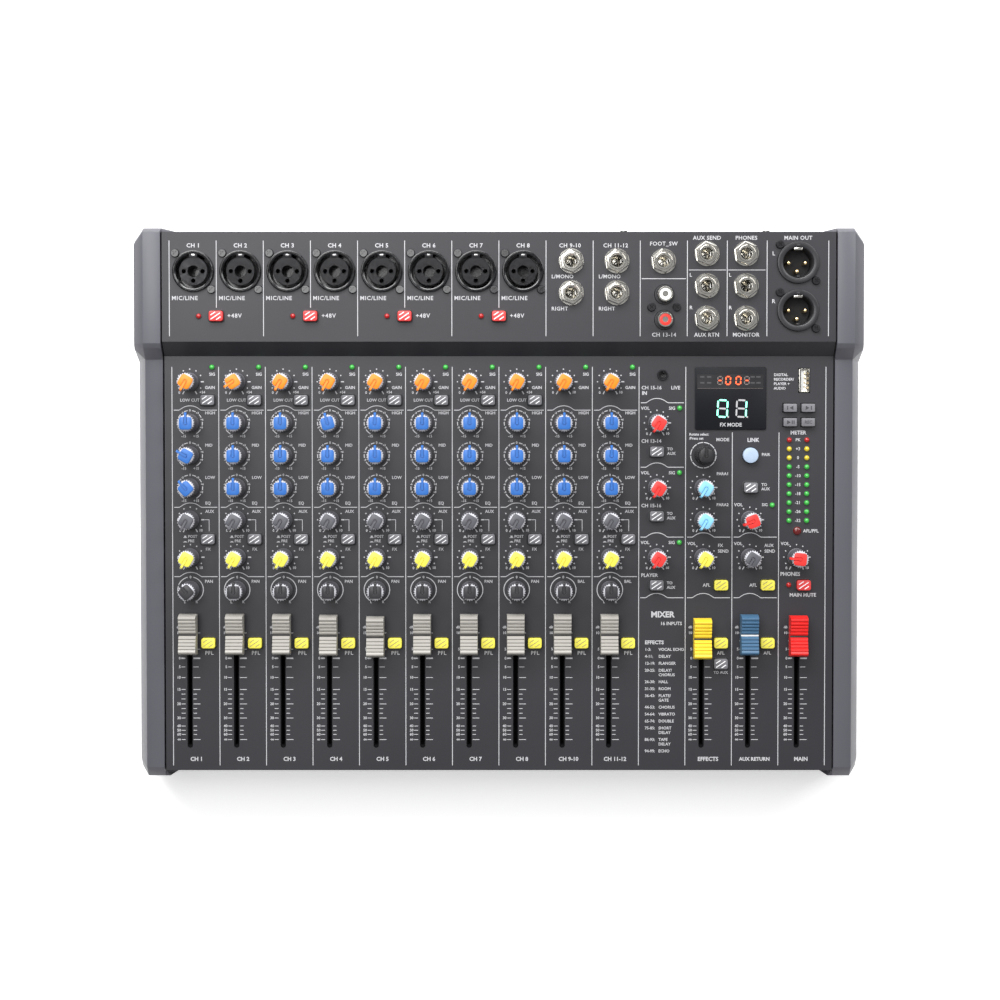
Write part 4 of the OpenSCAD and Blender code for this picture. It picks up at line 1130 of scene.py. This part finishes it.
class CONSOLE_OT_buttons(bpy.types.Operator):
    """Makes the push-buttons and the transport keys"""
    bl_idname = "console.buttons"
    bl_label = "Buttons"

    def execute(self, context):
        grey = grained("Button grey", colours().button, 0.4, 0.05, 0.04, 1800, 0.12, 0.01, 120)
        yellow = grained("Button yellow", colours().yellow, 0.4, 0.04, 0.04, 1800, 0.12, 0.01, 120)
        red = grained("Button red", colours().button_red, 0.4, 0.04, 0.04, 1800, 0.12, 0.01, 120)
        white = grained("Stripe white", (0.85, 0.85, 0.87), 0.45, 0.03, 0.03, 1800, 0.05, 0.01, 120)
        faint = grained("Stripe olive", (0.38, 0.33, 0.12), 0.45, 0.03, 0.03, 1800, 0.05, 0.01, 120)
        for node, plane, cap, mark, slot_name in (
                ("low_cut_buttons", DECK, grey, white, "button_grey"),
                ("pre_post_buttons", DECK, grey, white, "button_grey"),
                ("to_aux_buttons", DECK, grey, white, "button_grey"),
                ("listen_buttons", DECK, yellow, faint, "button_yellow"),
                ("mute_button", DECK, red, white, "button_red"),
                ("phantom_buttons", PANEL, red, white, "button_red")):
            low, high = span(solids(node, plane)[0])
            key = striped_key("key", cap, mark, high.x - low.x, high.y - low.y, KEY_FOOT, high.z, low.z)
            spread(key, node, plane, f"{node}_detail", slot_name)
        self.transport(grey)
        self.round_ones()
        return {"FINISHED"}

    def transport(self, grey):
        """Four keys with player symbols."""
        mark = grained("Key symbol", (0.035, 0.035, 0.04), 0.5, 0.03, 0.03, 1800, 0.05, 0.01, 120)
        groups = solids("transport_keys", DECK)
        low, high = span(groups[0])
        key = slab("key", high.x - low.x, high.y - low.y, KEY_FOOT, high.z, grey, 0.5, 0.3)
        keys = []
        for i, points in enumerate(groups):
            c = centre(points)
            left, back = i < 2, i % 2 == 0
            keys.append(copy_to(key, at(c.x, c.y)))
            keys.append(shift(turned("stem", [(STEM, low.z), (STEM, KEY_FOOT + 0.1)], grey, 12), c.x, c.y))
            for x, flip, shape in self.symbol(left, back):
                if shape == "word":
                    piece = letters("REC", 1.7)
                    piece.data.materials[0] = mark
                elif shape == "bar":
                    piece = slab("bar", 0.55, 2.1, 0, thickness(), mark)
                else:
                    piece = turned("arrow", [(1.35, 0), (1.35, thickness())], mark, 3)
                    piece = turn(piece, 90 if flip else -90)
                keys.append(shift(piece, c.x + x, c.y, high.z))
        drop(key)
        piece = joined("transport_keys_detail", keys)
        settle(move_by(piece, DECK), "transport_keys", "button_grey", "transport_keys")

    def symbol(self, left, back):
        """Offsets and shapes of a key's symbol: previous, next, play and pause, or record."""
        if back:
            return [(-1.6, False, "bar"), (0.9, True, "arrow")] if left else [(-0.9, False, "arrow"),
                                                                             (1.6, False, "bar")]
        if left:
            return [(-1.2, False, "arrow"), (1.0, False, "bar"), (2.0, False, "bar")]
        return [(0, False, "word")]

    def round_ones(self):
        pale = grained("Button pair", colours().button_blue, 0.4, 0.03, 0.04, 1800, 0.1, 0.01, 120)
        points = solids("pair_button", DECK)[0]
        low, high = span(points)
        c = centre(points)
        radius = (high.x - low.x) / 2
        disc = turned("disc", [(radius - 0.1, KEY_FOOT), (radius, KEY_FOOT + 0.2), (radius, high.z - 0.45),
                               (radius - 0.12, high.z - 0.15), (radius - 0.45, high.z), (0.6, high.z - 0.12)],
                      pale, 40)
        stem = turned("stem", [(STEM, low.z), (STEM, KEY_FOOT + 0.1)], pale, 12)
        settle(move_by(joined("pair_button_detail", [disc, stem]), DECK @ at(c.x, c.y)), "pair_button",
               "button_grey", "pair_button")
        cream = grained("Button cream", colours().cream, 0.38, 0.03, 0.04, 1800, 0.1, 0.01, 120)
        low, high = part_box("power_button")
        radius = (high.x - low.x) / 2 / MM
        wall = chassis_high.y
        reach, root = (high.y - wall) / MM, (low.y - wall) / MM
        button = turned("button", [(STEM, root), (STEM, -4.5), (radius - 0.2, -4.5), (radius, -4.3),
                                   (radius, reach - 0.6), (radius - 0.2, reach - 0.2), (radius - 0.6, reach),
                                   (0.5, reach - 0.15)], cream, 40)
        place = Matrix.Translation(((low.x + high.x) / 2, wall, (low.z + high.z) / 2))
        settle(joined("power_button_detail", [move_by(button, place @ Matrix.Rotation(-math.pi / 2, 4, "X"))]),
               "power_button", "button_cream", "power_button")


# ---------------------------------------------------------------- lamps and display

class CONSOLE_OT_lamps(bpy.types.Operator):
    """Makes the indicator lamps"""
    bl_idname = "console.lamps"
    bl_label = "Lamps"

    def execute(self, context):
        green = lit("Lamp green", (0.035, 0.33, 0.045), 0.25)
        yellow = lit("Lamp yellow", (0.55, 0.42, 0.02), 0.2)
        red = lit("Lamp red", (0.34, 0.006, 0.006), 0.2)
        deep_red = lit("Lamp deep red", (0.10, 0.004, 0.004), 0.2)
        black = matt_black()
        masters = {}
        for label, matter, radius in (("green", green, 1.42), ("yellow", yellow, 1.42), ("red", red, 1.42),
                                      ("deep", deep_red, 2.36)):
            lens = turned("lens", [(radius + 0.35, -9), (radius + 0.35, -4), (radius, -4), (radius, 0.3),
                                   (radius * 0.93, 0.75), (radius * 0.75, 1.15), (radius * 0.45, 1.45),
                                   (radius * 0.15, 1.55)], matter, 20)
            rim = turned("rim", [(radius + 0.5, 0.0), (radius + 0.5, 0.12), (radius + 0.1, 0.2), (radius - 0.1, 0.12)],
                         black, 24)
            masters[label] = joined("lamp", [lens, rim])
        copies = []
        meter_x = column(COLUMNS - 1)
        for plane, on_panel in ((DECK, False), (PANEL, True)):
            for points in solids("indicator_lamps", plane):
                low, high = span(points)
                c = centre(points)
                if not (0.8 < high.z < 4) or (c.y > 0):
                    continue
                kind = "green"
                if on_panel:
                    kind = "red"
                elif high.x - low.x > 4.5:
                    kind = "deep"
                elif meter_x < c.x < meter_x + 18:
                    step = round((-c.y - HIGH_ROW - 9.5) / 5)
                    kind = "red" if step <= 0 or step > 12 else "yellow" if step <= 2 else "green"
                copies.append(copy_to(masters[kind], plane @ at(c.x, c.y)))
        drop(*masters.values())
        settle(joined("lamps_detail", copies), "case", "lamp", "indicator_lamps")
        return {"FINISHED"}


SEGMENTS = {"0": "abcdef", "1": "bc", "-": "g"}


def digit(tall, wide, thick, lit_parts, bright, faint, height):
    """A seven-segment figure. Its unlit segments are outlined in a fainter tint."""
    parts = []
    gap = thick * 0.18
    half = tall / 2
    places = {"a": (0, half, wide - thick, True), "g": (0, 0, wide - thick, True), "d": (0, -half, wide - thick, True),
              "b": (wide / 2, half / 2, half - thick, False), "c": (wide / 2, -half / 2, half - thick, False),
              "e": (-wide / 2, -half / 2, half - thick, False), "f": (-wide / 2, half / 2, half - thick, False)}
    for key, (x, y, reach, flat) in places.items():
        matter = bright if key in lit_parts else faint
        if matter is None:
            continue
        sizes = (reach - gap, thick) if flat else (thick, reach - gap + thick * 0.5)
        parts.append(slab("segment", *sizes, height, height + 0.05, matter, thick * 0.45, place=(x, y), segments=1))
    piece = joined("digit", parts)
    only(piece)
    piece.matrix_world = Matrix(((1, 0.1, 0, 0), (0, 1, 0, 0), (0, 0, 1, 0), (0, 0, 0, 1)))
    bpy.ops.object.transform_apply(location=True, rotation=True, scale=True)
    return piece


class CONSOLE_OT_display(bpy.types.Operator):
    """Makes the display window with its figures"""
    bl_idname = "console.display"
    bl_label = "Display"

    def execute(self, context):
        points = solids("display_unit", DECK)[0]
        face = [p for p in points if p.z > 0.7]
        c = centre(face)
        low, high = span(face)
        wide, deep, top = high.x - low.x, high.y - low.y, high.z
        window = grained("Window", (0.006, 0.0065, 0.009), 0.42, 0.2, 0.04, 600, 0.02, 0.01, 20,
                         Specular_IOR_Level=0.2)
        strip = grained("Window strip", (0.014, 0.014, 0.016), 0.3, 0.2, 0.05, 900, 0.05, 0.01, 60)
        red = lit("Digit red", (0.95, 0.10, 0.03), 2.2)
        green = lit("Digit green", (0.25, 1.0, 0.66), 1.6)
        faint_red = grained("Digit unlit", (0.16, 0.13, 0.125), 0.4, 0.05, 0.03, 900, 0.05, 0.01, 60)
        faint = grained("Digit grey", (0.42, 0.42, 0.43), 0.4, 0.05, 0.03, 900, 0.05, 0.01, 60)
        mark = grained("Window mark", (0.05, 0.05, 0.055), 0.4, 0.05, 0.03, 900, 0.05, 0.01, 60)
        parts = [slab("window", wide, deep, -6, top, window, 1.0, 0.18),
                 slab("foot", wide - 12, 2.3, -12.9, -5.9, window, place=(0, deep / 2 - 5)),
                 slab("foot", wide - 12, 2.3, -12.9, -5.9, window, place=(0, 5 - deep / 2)),
                 slab("strip", wide - 3, 7.6, top, top + 0.02, strip, place=(-0.2, deep / 2 - 8.0)),
                 slab("line", wide - 3.4, 0.14, top, top + 0.04, faint_red, place=(-0.2, deep / 2 - 12))]
        for x, lit_parts in ((-5.9, "-"), (-1.4, "0"), (4.3, "0"), (9.0, "-")):
            parts.append(shift(digit(4.3, 2.5, 0.62, SEGMENTS[lit_parts], red, faint_red if lit_parts == "-" else None,
                                     top + 0.02), x, deep / 2 - 7.6))
        for x, lit_parts in ((-4.5, "0"), (6.0, "1")):
            parts.append(shift(digit(9.2, 5.3, 0.95, SEGMENTS[lit_parts], green, faint, top + 0.05), x,
                               deep / 2 - 23.2))
            point = turned("point", [(0.5, top), (0.5, top + 0.1)], faint, 12)
            parts.append(shift(point, x + 3.2, deep / 2 - 27.9))
        for x in (-15.8, -12, 12.2, 15.4):
            for y in (5.6, 8.9):
                parts.append(slab("mark", 2.4, 0.9, top + 0.02, top + 0.05, mark, place=(x, deep / 2 - y)))
        name = letters("FX MODE", 2.05)
        parts.append(shift(name, 0.1, 2.7 - deep / 2, top))
        piece = move_by(joined("display_detail", parts), DECK @ at(c.x, c.y))
        settle(piece, "case", "window", "display_unit")
        return {"FINISHED"}


# ---------------------------------------------------------------- sockets

def hole_tools(places, radius, low, high, sides=24):
    return [shift(turned("tool", [(radius, low), (radius, high)], None, sides), x, y) for x, y in places]


class CONSOLE_OT_microphone_sockets(bpy.types.Operator):
    """Makes the eight combined microphone and line sockets"""
    bl_idname = "console.microphone_sockets"
    bl_label = "Microphone sockets"

    def execute(self, context):
        groups = solids("combo_sockets", PANEL)
        ring_top = span(groups[0])[1].z
        black, matt = gloss_black(), matt_black()
        core_black = grained("Core black", (0.016, 0.016, 0.019), 0.4, 0.1, 0.05, 1400, 0.1, 0.01, 80)
        ring = turned("ring", [(11.4, -25.9), (11.4, 0.0), (11.5, 0.15), (11.5, ring_top - 0.35),
                               (11.38, ring_top - 0.12), (11.1, ring_top), (10.6, ring_top),
                               (10.1, ring_top - 0.45), (9.7, ring_top - 0.6), (9.7, -13.9), (9.0, -13.95)], black, 64)
        core = turned("core", [(7.9, -14.5), (7.9, 0.05), (7.65, 0.3), (7.3, 0.3)], core_black, 48)
        holes = hole_tools([(0, 0)], 3.25, -23.8, 2, 32)
        holes += hole_tools([(math.cos(math.radians(a)) * 5.2, math.sin(math.radians(a)) * 5.2)
                             for a in (0, 180, 270)], 1.25, -12, 2, 20)
        core = cut(core, holes)
        well = turned("well", [(3.9, -25.5), (3.9, -14.6), (3.4, -14.6), (3.4, -24.9)], matt, 32)
        latch = slab("latch", 4.4, 2.1, -6, 0.9, matt, 0.4, 0.25, place=(0, 8.7))
        glint = slab("glint", 2.1, 1.0, -3, 1.0, tin(), 0.3, 0.15, place=(0, 8.9))
        master = joined("combo", [ring, core, well, latch, glint])
        copies = [copy_to(master, PANEL @ at(centre(p).x, centre(p).y)) for p in groups]
        drop(master)
        settle(joined("combo_detail", copies), "case", "socket_black", "combo_sockets")
        return {"FINISHED"}


class CONSOLE_OT_main_outputs(bpy.types.Operator):
    """Makes the two three-pin output sockets"""
    bl_idname = "console.main_outputs"
    bl_label = "Main outputs"

    def execute(self, context):
        shells = [p for p in solids("xlr_outputs", PANEL) if span(p)[1].x - span(p)[0].x > 15]
        top = span(shells[0])[1].z
        dark = grained("Socket grey", (0.017, 0.017, 0.020), 0.35, 0.1, 0.05, 1400, 0.1, 0.01, 80)
        black = matt_black()
        ring = turned("ring", [(11.4, -25.9), (11.4, 0.0), (11.5, 0.15), (11.5, top - 0.35), (11.35, top - 0.1),
                               (11.0, top), (8.9, top), (8.6, top - 0.2), (8.5, top - 1.2), (8.4, -13.9),
                               (8.2, -13.95)], dark, 64)
        floor = turned("floor", [(8.35, -13.9), (8.35, -13.6), (8.0, -13.5)], black, 48)
        wall = turned("wall", [(8.45, -13.8), (8.45, top - 1.3), (8.3, top - 1.3), (8.3, -13.4)], black, 48)
        pin = turned("pin", [(1.2, -17.8), (1.2, -4.0), (1.05, -3.3), (0.7, -3.0), (0.3, -2.9)], gold(), 24)
        pins = [copy_to(pin, at(math.cos(math.radians(a)) * 4.75, math.sin(math.radians(a)) * 4.75))
                for a in (0, 180, 270)]
        latch = slab("latch", 4.6, 1.4, -8, top - 0.35, chrome(), 0.3, 0.2, place=(0, 7.6))
        # painted shade: a matt black block rising just above the ring's face stands in for the shaded recess of the
        # notch beside the latch
        notch_shade = slab("notch_shade", 1.8, 1.0, -8, top + 0.02, black, 0.2, 0.1, place=(0, 9.6))
        key = slab("key", 1.5, 1.1, -12, top - 0.5, dark, 0.2, 0.1, place=(0, -7.7))
        master = joined("output", [ring, floor, wall, latch, notch_shade, key] + pins)
        drop(pin)
        copies = [copy_to(master, PANEL @ at(centre(p).x, centre(p).y)) for p in shells]
        drop(master)
        settle(joined("main_outputs_detail", copies), "case", "socket_black", "xlr_outputs")
        return {"FINISHED"}


class CONSOLE_OT_jacks(bpy.types.Operator):
    """Makes the line jacks with their nuts, and the small input jack"""
    bl_idname = "console.jacks"
    bl_label = "Jacks"

    def execute(self, context):
        nuts = [p for p in solids("jack_sockets", PANEL) if span(p)[0].z > -0.1 and span(p)[1].z < 6]
        body = grained("Jack body", (0.02, 0.02, 0.022), 0.5, 0.1, 0.05, 1400, 0.2, 0.02, 80)
        inner = turned("inner", [(4.5, -24.3), (4.5, -1.3), (4.65, -1.2), (4.65, 3.6), (4.45, 3.95), (3.6, 3.95),
                                 (3.25, 3.6), (3.25, -23.9), (3.1, -24.0)], chrome(), 40)
        washer = turned("washer", [(7.0, 0.02), (7.0, 0.55), (6.9, 0.7)], chrome(), 48)
        nut = turned("nut", [(6.9, 0.6), (6.9, 2.7), (6.3, 3.35), (5.1, 3.4)], chrome(), 6,
                     20)
        nut = cut(turn(nut, 8), hole_tools([(0, 0)], 4.72, -1, 5, 40))
        washer = cut(washer, hole_tools([(0, 0)], 4.72, -1, 5, 40))
        contact = slab("contact", 0.5, 2.4, -14, -4.5, tin(), 0.1, 0.1, place=(2.5, 0.2))
        block = slab("block", 14.8, 14.8, -25.8, -1.3, body, 0.8, 0.3)
        block = cut(block, hole_tools([(0, 0)], 4.6, -24, 2, 40))
        master = joined("jack", [inner, washer, nut, contact, block])
        copies = [copy_to(master, PANEL @ at(centre(p).x, centre(p).y)) for p in nuts]
        drop(master)
        small = [p for p in solids("jack_sockets", DECK) if span(p)[1].x - span(p)[0].x < 8
                 and abs(span(p)[1].z - 1.2) < 0.2]
        ring = turned("ring", [(3.4, -12.9), (3.4, -1.3), (3.0, -1.3), (3.0, 1.0), (2.85, 1.2), (2.4, 1.2),
                               (2.1, 0.7), (1.8, 0.5), (1.8, -11.8), (1.7, -11.9)], gloss_black(), 32)
        c = centre(small[0])
        copies.append(move_by(ring, DECK @ at(c.x, c.y)))
        settle(joined("jacks_detail", copies), "case", "chrome", "jack_sockets")
        return {"FINISHED"}


class CONSOLE_OT_phono_sockets(bpy.types.Operator):
    """Makes the pair of phono sockets"""
    bl_idname = "console.phono_sockets"
    bl_label = "Phono sockets"

    def execute(self, context):
        low, high = span(solids("phono_sockets", PANEL)[0])
        top = high.z
        x = (low.x + high.x) / 2
        places = [-(PANEL.inverted() @ Vector(MOUNTS[n]["pos_m"])).y / MM for n in ("phono_l_pin", "phono_r_pin")]
        black = matt_black()
        white = grained("Phono white", (0.80, 0.80, 0.80), 0.35, 0.03, 0.04, 1400, 0.05, 0.01, 80)
        red = grained("Phono red", (0.62, 0.03, 0.02), 0.35, 0.03, 0.04, 1400, 0.05, 0.01, 80)
        parts = [slab("block", high.x - low.x, high.y - low.y, low.z, -1.25, black, 0.8, 0.3,
                      place=(x, (low.y + high.y) / 2))]
        for v, tint in zip(sorted(places), (white, red)):
            collar = turned("collar", [(5.4, -1.2), (5.4, 0.7), (5.2, 1.0), (4.7, 1.0), (4.5, 0.6), (4.2, 0.6)], black,
                            40)
            barrel = turned("barrel", [(4.12, 0.2), (4.12, top - 0.2), (3.95, top), (3.35, top), (3.25, top - 0.3),
                                       (3.2, top - 0.6)], chrome(), 40)
            core = turned("core", [(3.2, -5.3), (3.2, top - 0.35), (3.0, top - 0.3), (1.75, top - 0.3),
                                   (1.6, top - 0.5), (1.6, -4.9), (1.5, -5)], tint, 32)
            parts += [shift(piece, x, -v) for piece in (collar, barrel, core)]
        settle(move_by(joined("phono_detail", parts), PANEL), "case", "socket_black", "phono_sockets")
        return {"FINISHED"}


class CONSOLE_OT_data_socket(bpy.types.Operator):
    """Makes the upright data socket"""
    bl_idname = "console.data_socket"
    bl_label = "Data socket"

    def execute(self, context):
        shell = max(solids("usb_socket", DECK), key=lambda p: span(p)[1].x - span(p)[0].x)
        low, high = span(shell)
        wide, deep = high.x - low.x, high.y - low.y
        body = slab("shell", wide, deep, low.z, high.z, chrome(), 0.7, 0.1)
        body = cut(body, [slab("tool", wide - 0.7, deep - 0.7, low.z + 1, high.z + 1, None, 0.45)])
        tongue = slab("tongue", 1.7, deep - 1.8, low.z + 1, high.z - 1.2,
                      grained("Tongue", (0.50, 0.50, 0.49), 0.4, 0.03, 0.03, 1400, 0.05, 0.01, 90), 0.2, 0.1,
                      place=(-0.9, 0))
        parts = [body, tongue]
        for y in (-3.6, -1.2, 1.2, 3.6):
            parts.append(slab("contact", 0.5, 1.1, low.z + 2, high.z - 1.1, gold(), 0.1, 0.05, place=(0.25, y)))
        c = centre(shell)
        settle(move_by(joined("data_socket_detail", parts), DECK @ at(c.x, c.y)), "case", "chrome", "usb_socket")
        return {"FINISHED"}


# ---------------------------------------------------------------- case

class CONSOLE_OT_cheeks(bpy.types.Operator):
    """Gives the side cheeks soft edges and their moulded skin"""
    bl_idname = "console.cheeks"
    bl_label = "Side cheeks"

    def execute(self, context):
        for side in ("left", "right"):
            node = frame["nodes"][f"{side}_cheek"]
            deselect()
            piece = bpy.data.objects.new(f"{side}_cheek_detail", node.data.copy())
            context.scene.collection.objects.link(piece)
            only(piece)
            edit()
            bpy.ops.mesh.select_all(action="SELECT")
            bpy.ops.mesh.remove_doubles(threshold=2e-6)
            bpy.ops.mesh.dissolve_limited(angle_limit=math.radians(1.5))
            bpy.ops.object.mode_set(mode="OBJECT")
            piece.data.materials.clear()
            piece.data.materials.append(cheek_skin())
            soften(piece, context.scene.console_sizes.bevel / MM, 2, 12)
            bpy.ops.object.shade_smooth_by_angle(angle=math.radians(30))
            settle(piece, "case", "cheek", f"{side}_cheek")
        return {"FINISHED"}


class CONSOLE_OT_case(bpy.types.Operator):
    """Paints the chassis, the tray and what stands inside and under them"""
    bl_idname = "console.case"
    bl_label = "Case"

    def execute(self, context):
        coat("top_chassis", powder_coat())
        coat("base_tray", powder_coat())
        coat("circuit_boards", grained("Board", (0.01, 0.12, 0.05), 0.35, 0.25, 0.05, 500, 0.1, 0.02, 300))
        coat("power_supply", grained("Supply", (0.30, 0.24, 0.06), 0.4, 0.2, 0.05, 500, 0.1, 0.02, 100))
        parts = grained("Component", (0.07, 0.075, 0.085), 0.4, 0.15, 0.05, 900, 0.15, 0.02, 100)
        for node in ("pot_bodies", "switch_bodies"):
            coat(node, parts)
        # partly painted shade: the slide pots' own black, darkened further and given little sheen so that the fader
        # slots above them read as shaded gaps
        coat("slide_pots", grained("Slide black and slot shade", (0.004, 0.004, 0.005), 0.7, 0.1, 0.05, 900, 0.1, 0.02, 100,
                                   Specular_IOR_Level=0.1))
        coat("encoder_shaft", tin())
        coat("mains_inlet", matt_black())
        coat("rubber_feet", grained("Rubber", (0.016, 0.016, 0.016), 0.8, 0.2, 0.05, 1500, 0.5, 0.05, 90))
        coat("screws", gloss_black())
        return {"FINISHED"}


# ---------------------------------------------------------------- stage

def softbox(name, place, aim, size, power, colour=(1, 1, 1)):
    deselect()
    bpy.ops.object.light_add(type="AREA", location=place)
    lamp = bpy.context.active_object
    lamp.name = name
    lamp.data.shape = "RECTANGLE"
    lamp.data.size, lamp.data.size_y = size
    lamp.data.energy = power
    lamp.data.color = colour
    lamp.rotation_euler = (Vector(aim) - Vector(place)).to_track_quat("-Z", "Y").to_euler()
    return lamp


class CONSOLE_OT_stage(bpy.types.Operator):
    """Sets out the pale floor, the soft lights and the camera"""
    bl_idname = "console.stage"
    bl_label = "Stage"

    def execute(self, context):
        deselect()
        bpy.ops.mesh.primitive_plane_add(size=8, location=(0, 0, 0))
        floor = named("floor", grained("Floor", (0.92, 0.92, 0.92), 0.6, 0.01, 0.02, 40, 0.02, 0.1, 1,
                                      Emission_Color=(1, 1, 1, 1), Emission_Strength=0.4))
        softbox("key", (-0.25, 0.85, 0.85), (0, 0.05, 0.06), (1.2, 0.6), 23)
        softbox("side", (0.85, 0.6, 0.95), (0, 0, 0.06), (0.7, 0.7), 8)
        softbox("top", (-0.4, 0.3, 1.9), (0, 0, 0.06), (0.9, 0.9), 12)
        world = bpy.data.worlds.new("Studio")
        context.scene.world = world
        world.use_nodes = True
        world.node_tree.nodes["Background"].inputs["Color"].default_value = (1, 1, 1, 1)
        world.node_tree.nodes["Background"].inputs["Strength"].default_value = 0.36
        tilt = math.radians(3.5)
        distance = 1.06
        target = DECK @ Vector((0.0006, -0.0522, 0))
        back = Vector((0, -math.sin(tilt), math.cos(tilt)))
        bpy.ops.object.camera_add(location=target + back * distance, rotation=(tilt, 0, 0))
        camera = bpy.context.active_object
        camera.data.lens = 68.5
        camera.data.sensor_width = 36
        camera.data.shift_y = -0.05
        context.scene.camera = camera
        context.scene.view_settings.view_transform = "Standard"
        return {"FINISHED"}


OPERATORS = (CONSOLE_OT_case, CONSOLE_OT_cheeks, CONSOLE_OT_deck_print, CONSOLE_OT_panel_print, CONSOLE_OT_knobs,
             CONSOLE_OT_faders, CONSOLE_OT_button_gap_shades, CONSOLE_OT_buttons, CONSOLE_OT_lamps, CONSOLE_OT_display,
             CONSOLE_OT_microphone_sockets, CONSOLE_OT_main_outputs, CONSOLE_OT_jacks, CONSOLE_OT_phono_sockets,
             CONSOLE_OT_data_socket, CONSOLE_OT_stage)


class CONSOLE_PT_panel(bpy.types.Panel):
    """Lists the sizes, the colours and the steps"""
    bl_idname = "CONSOLE_PT_panel"
    bl_label = "Mixing Console"
    bl_space_type = "VIEW_3D"
    bl_region_type = "UI"
    bl_category = "Console"

    def draw(self, context):
        for settings in (context.scene.console_sizes, context.scene.console_colours):
            box = self.layout.box()
            for key in settings.bl_rna.properties.keys():
                if key not in ("rna_type", "name"):
                    box.prop(settings, key)
        for operator in OPERATORS:
            self.layout.operator(operator.bl_idname)


CLASSES = (ConsoleSizes, ConsoleColours, *OPERATORS, CONSOLE_PT_panel)


def register():
    for cls in CLASSES:
        bpy.utils.register_class(cls)
    bpy.types.Scene.console_sizes = PointerProperty(type=ConsoleSizes)
    bpy.types.Scene.console_colours = PointerProperty(type=ConsoleColours)


def unregister():
    del bpy.types.Scene.console_sizes
    del bpy.types.Scene.console_colours
    for cls in reversed(CLASSES):
        bpy.utils.unregister_class(cls)


def main():
    register()
    for operator in OPERATORS:
        group, name = operator.bl_idname.split(".")
        getattr(getattr(bpy.ops, group), name)()


if __name__ == "__main__":
    main()
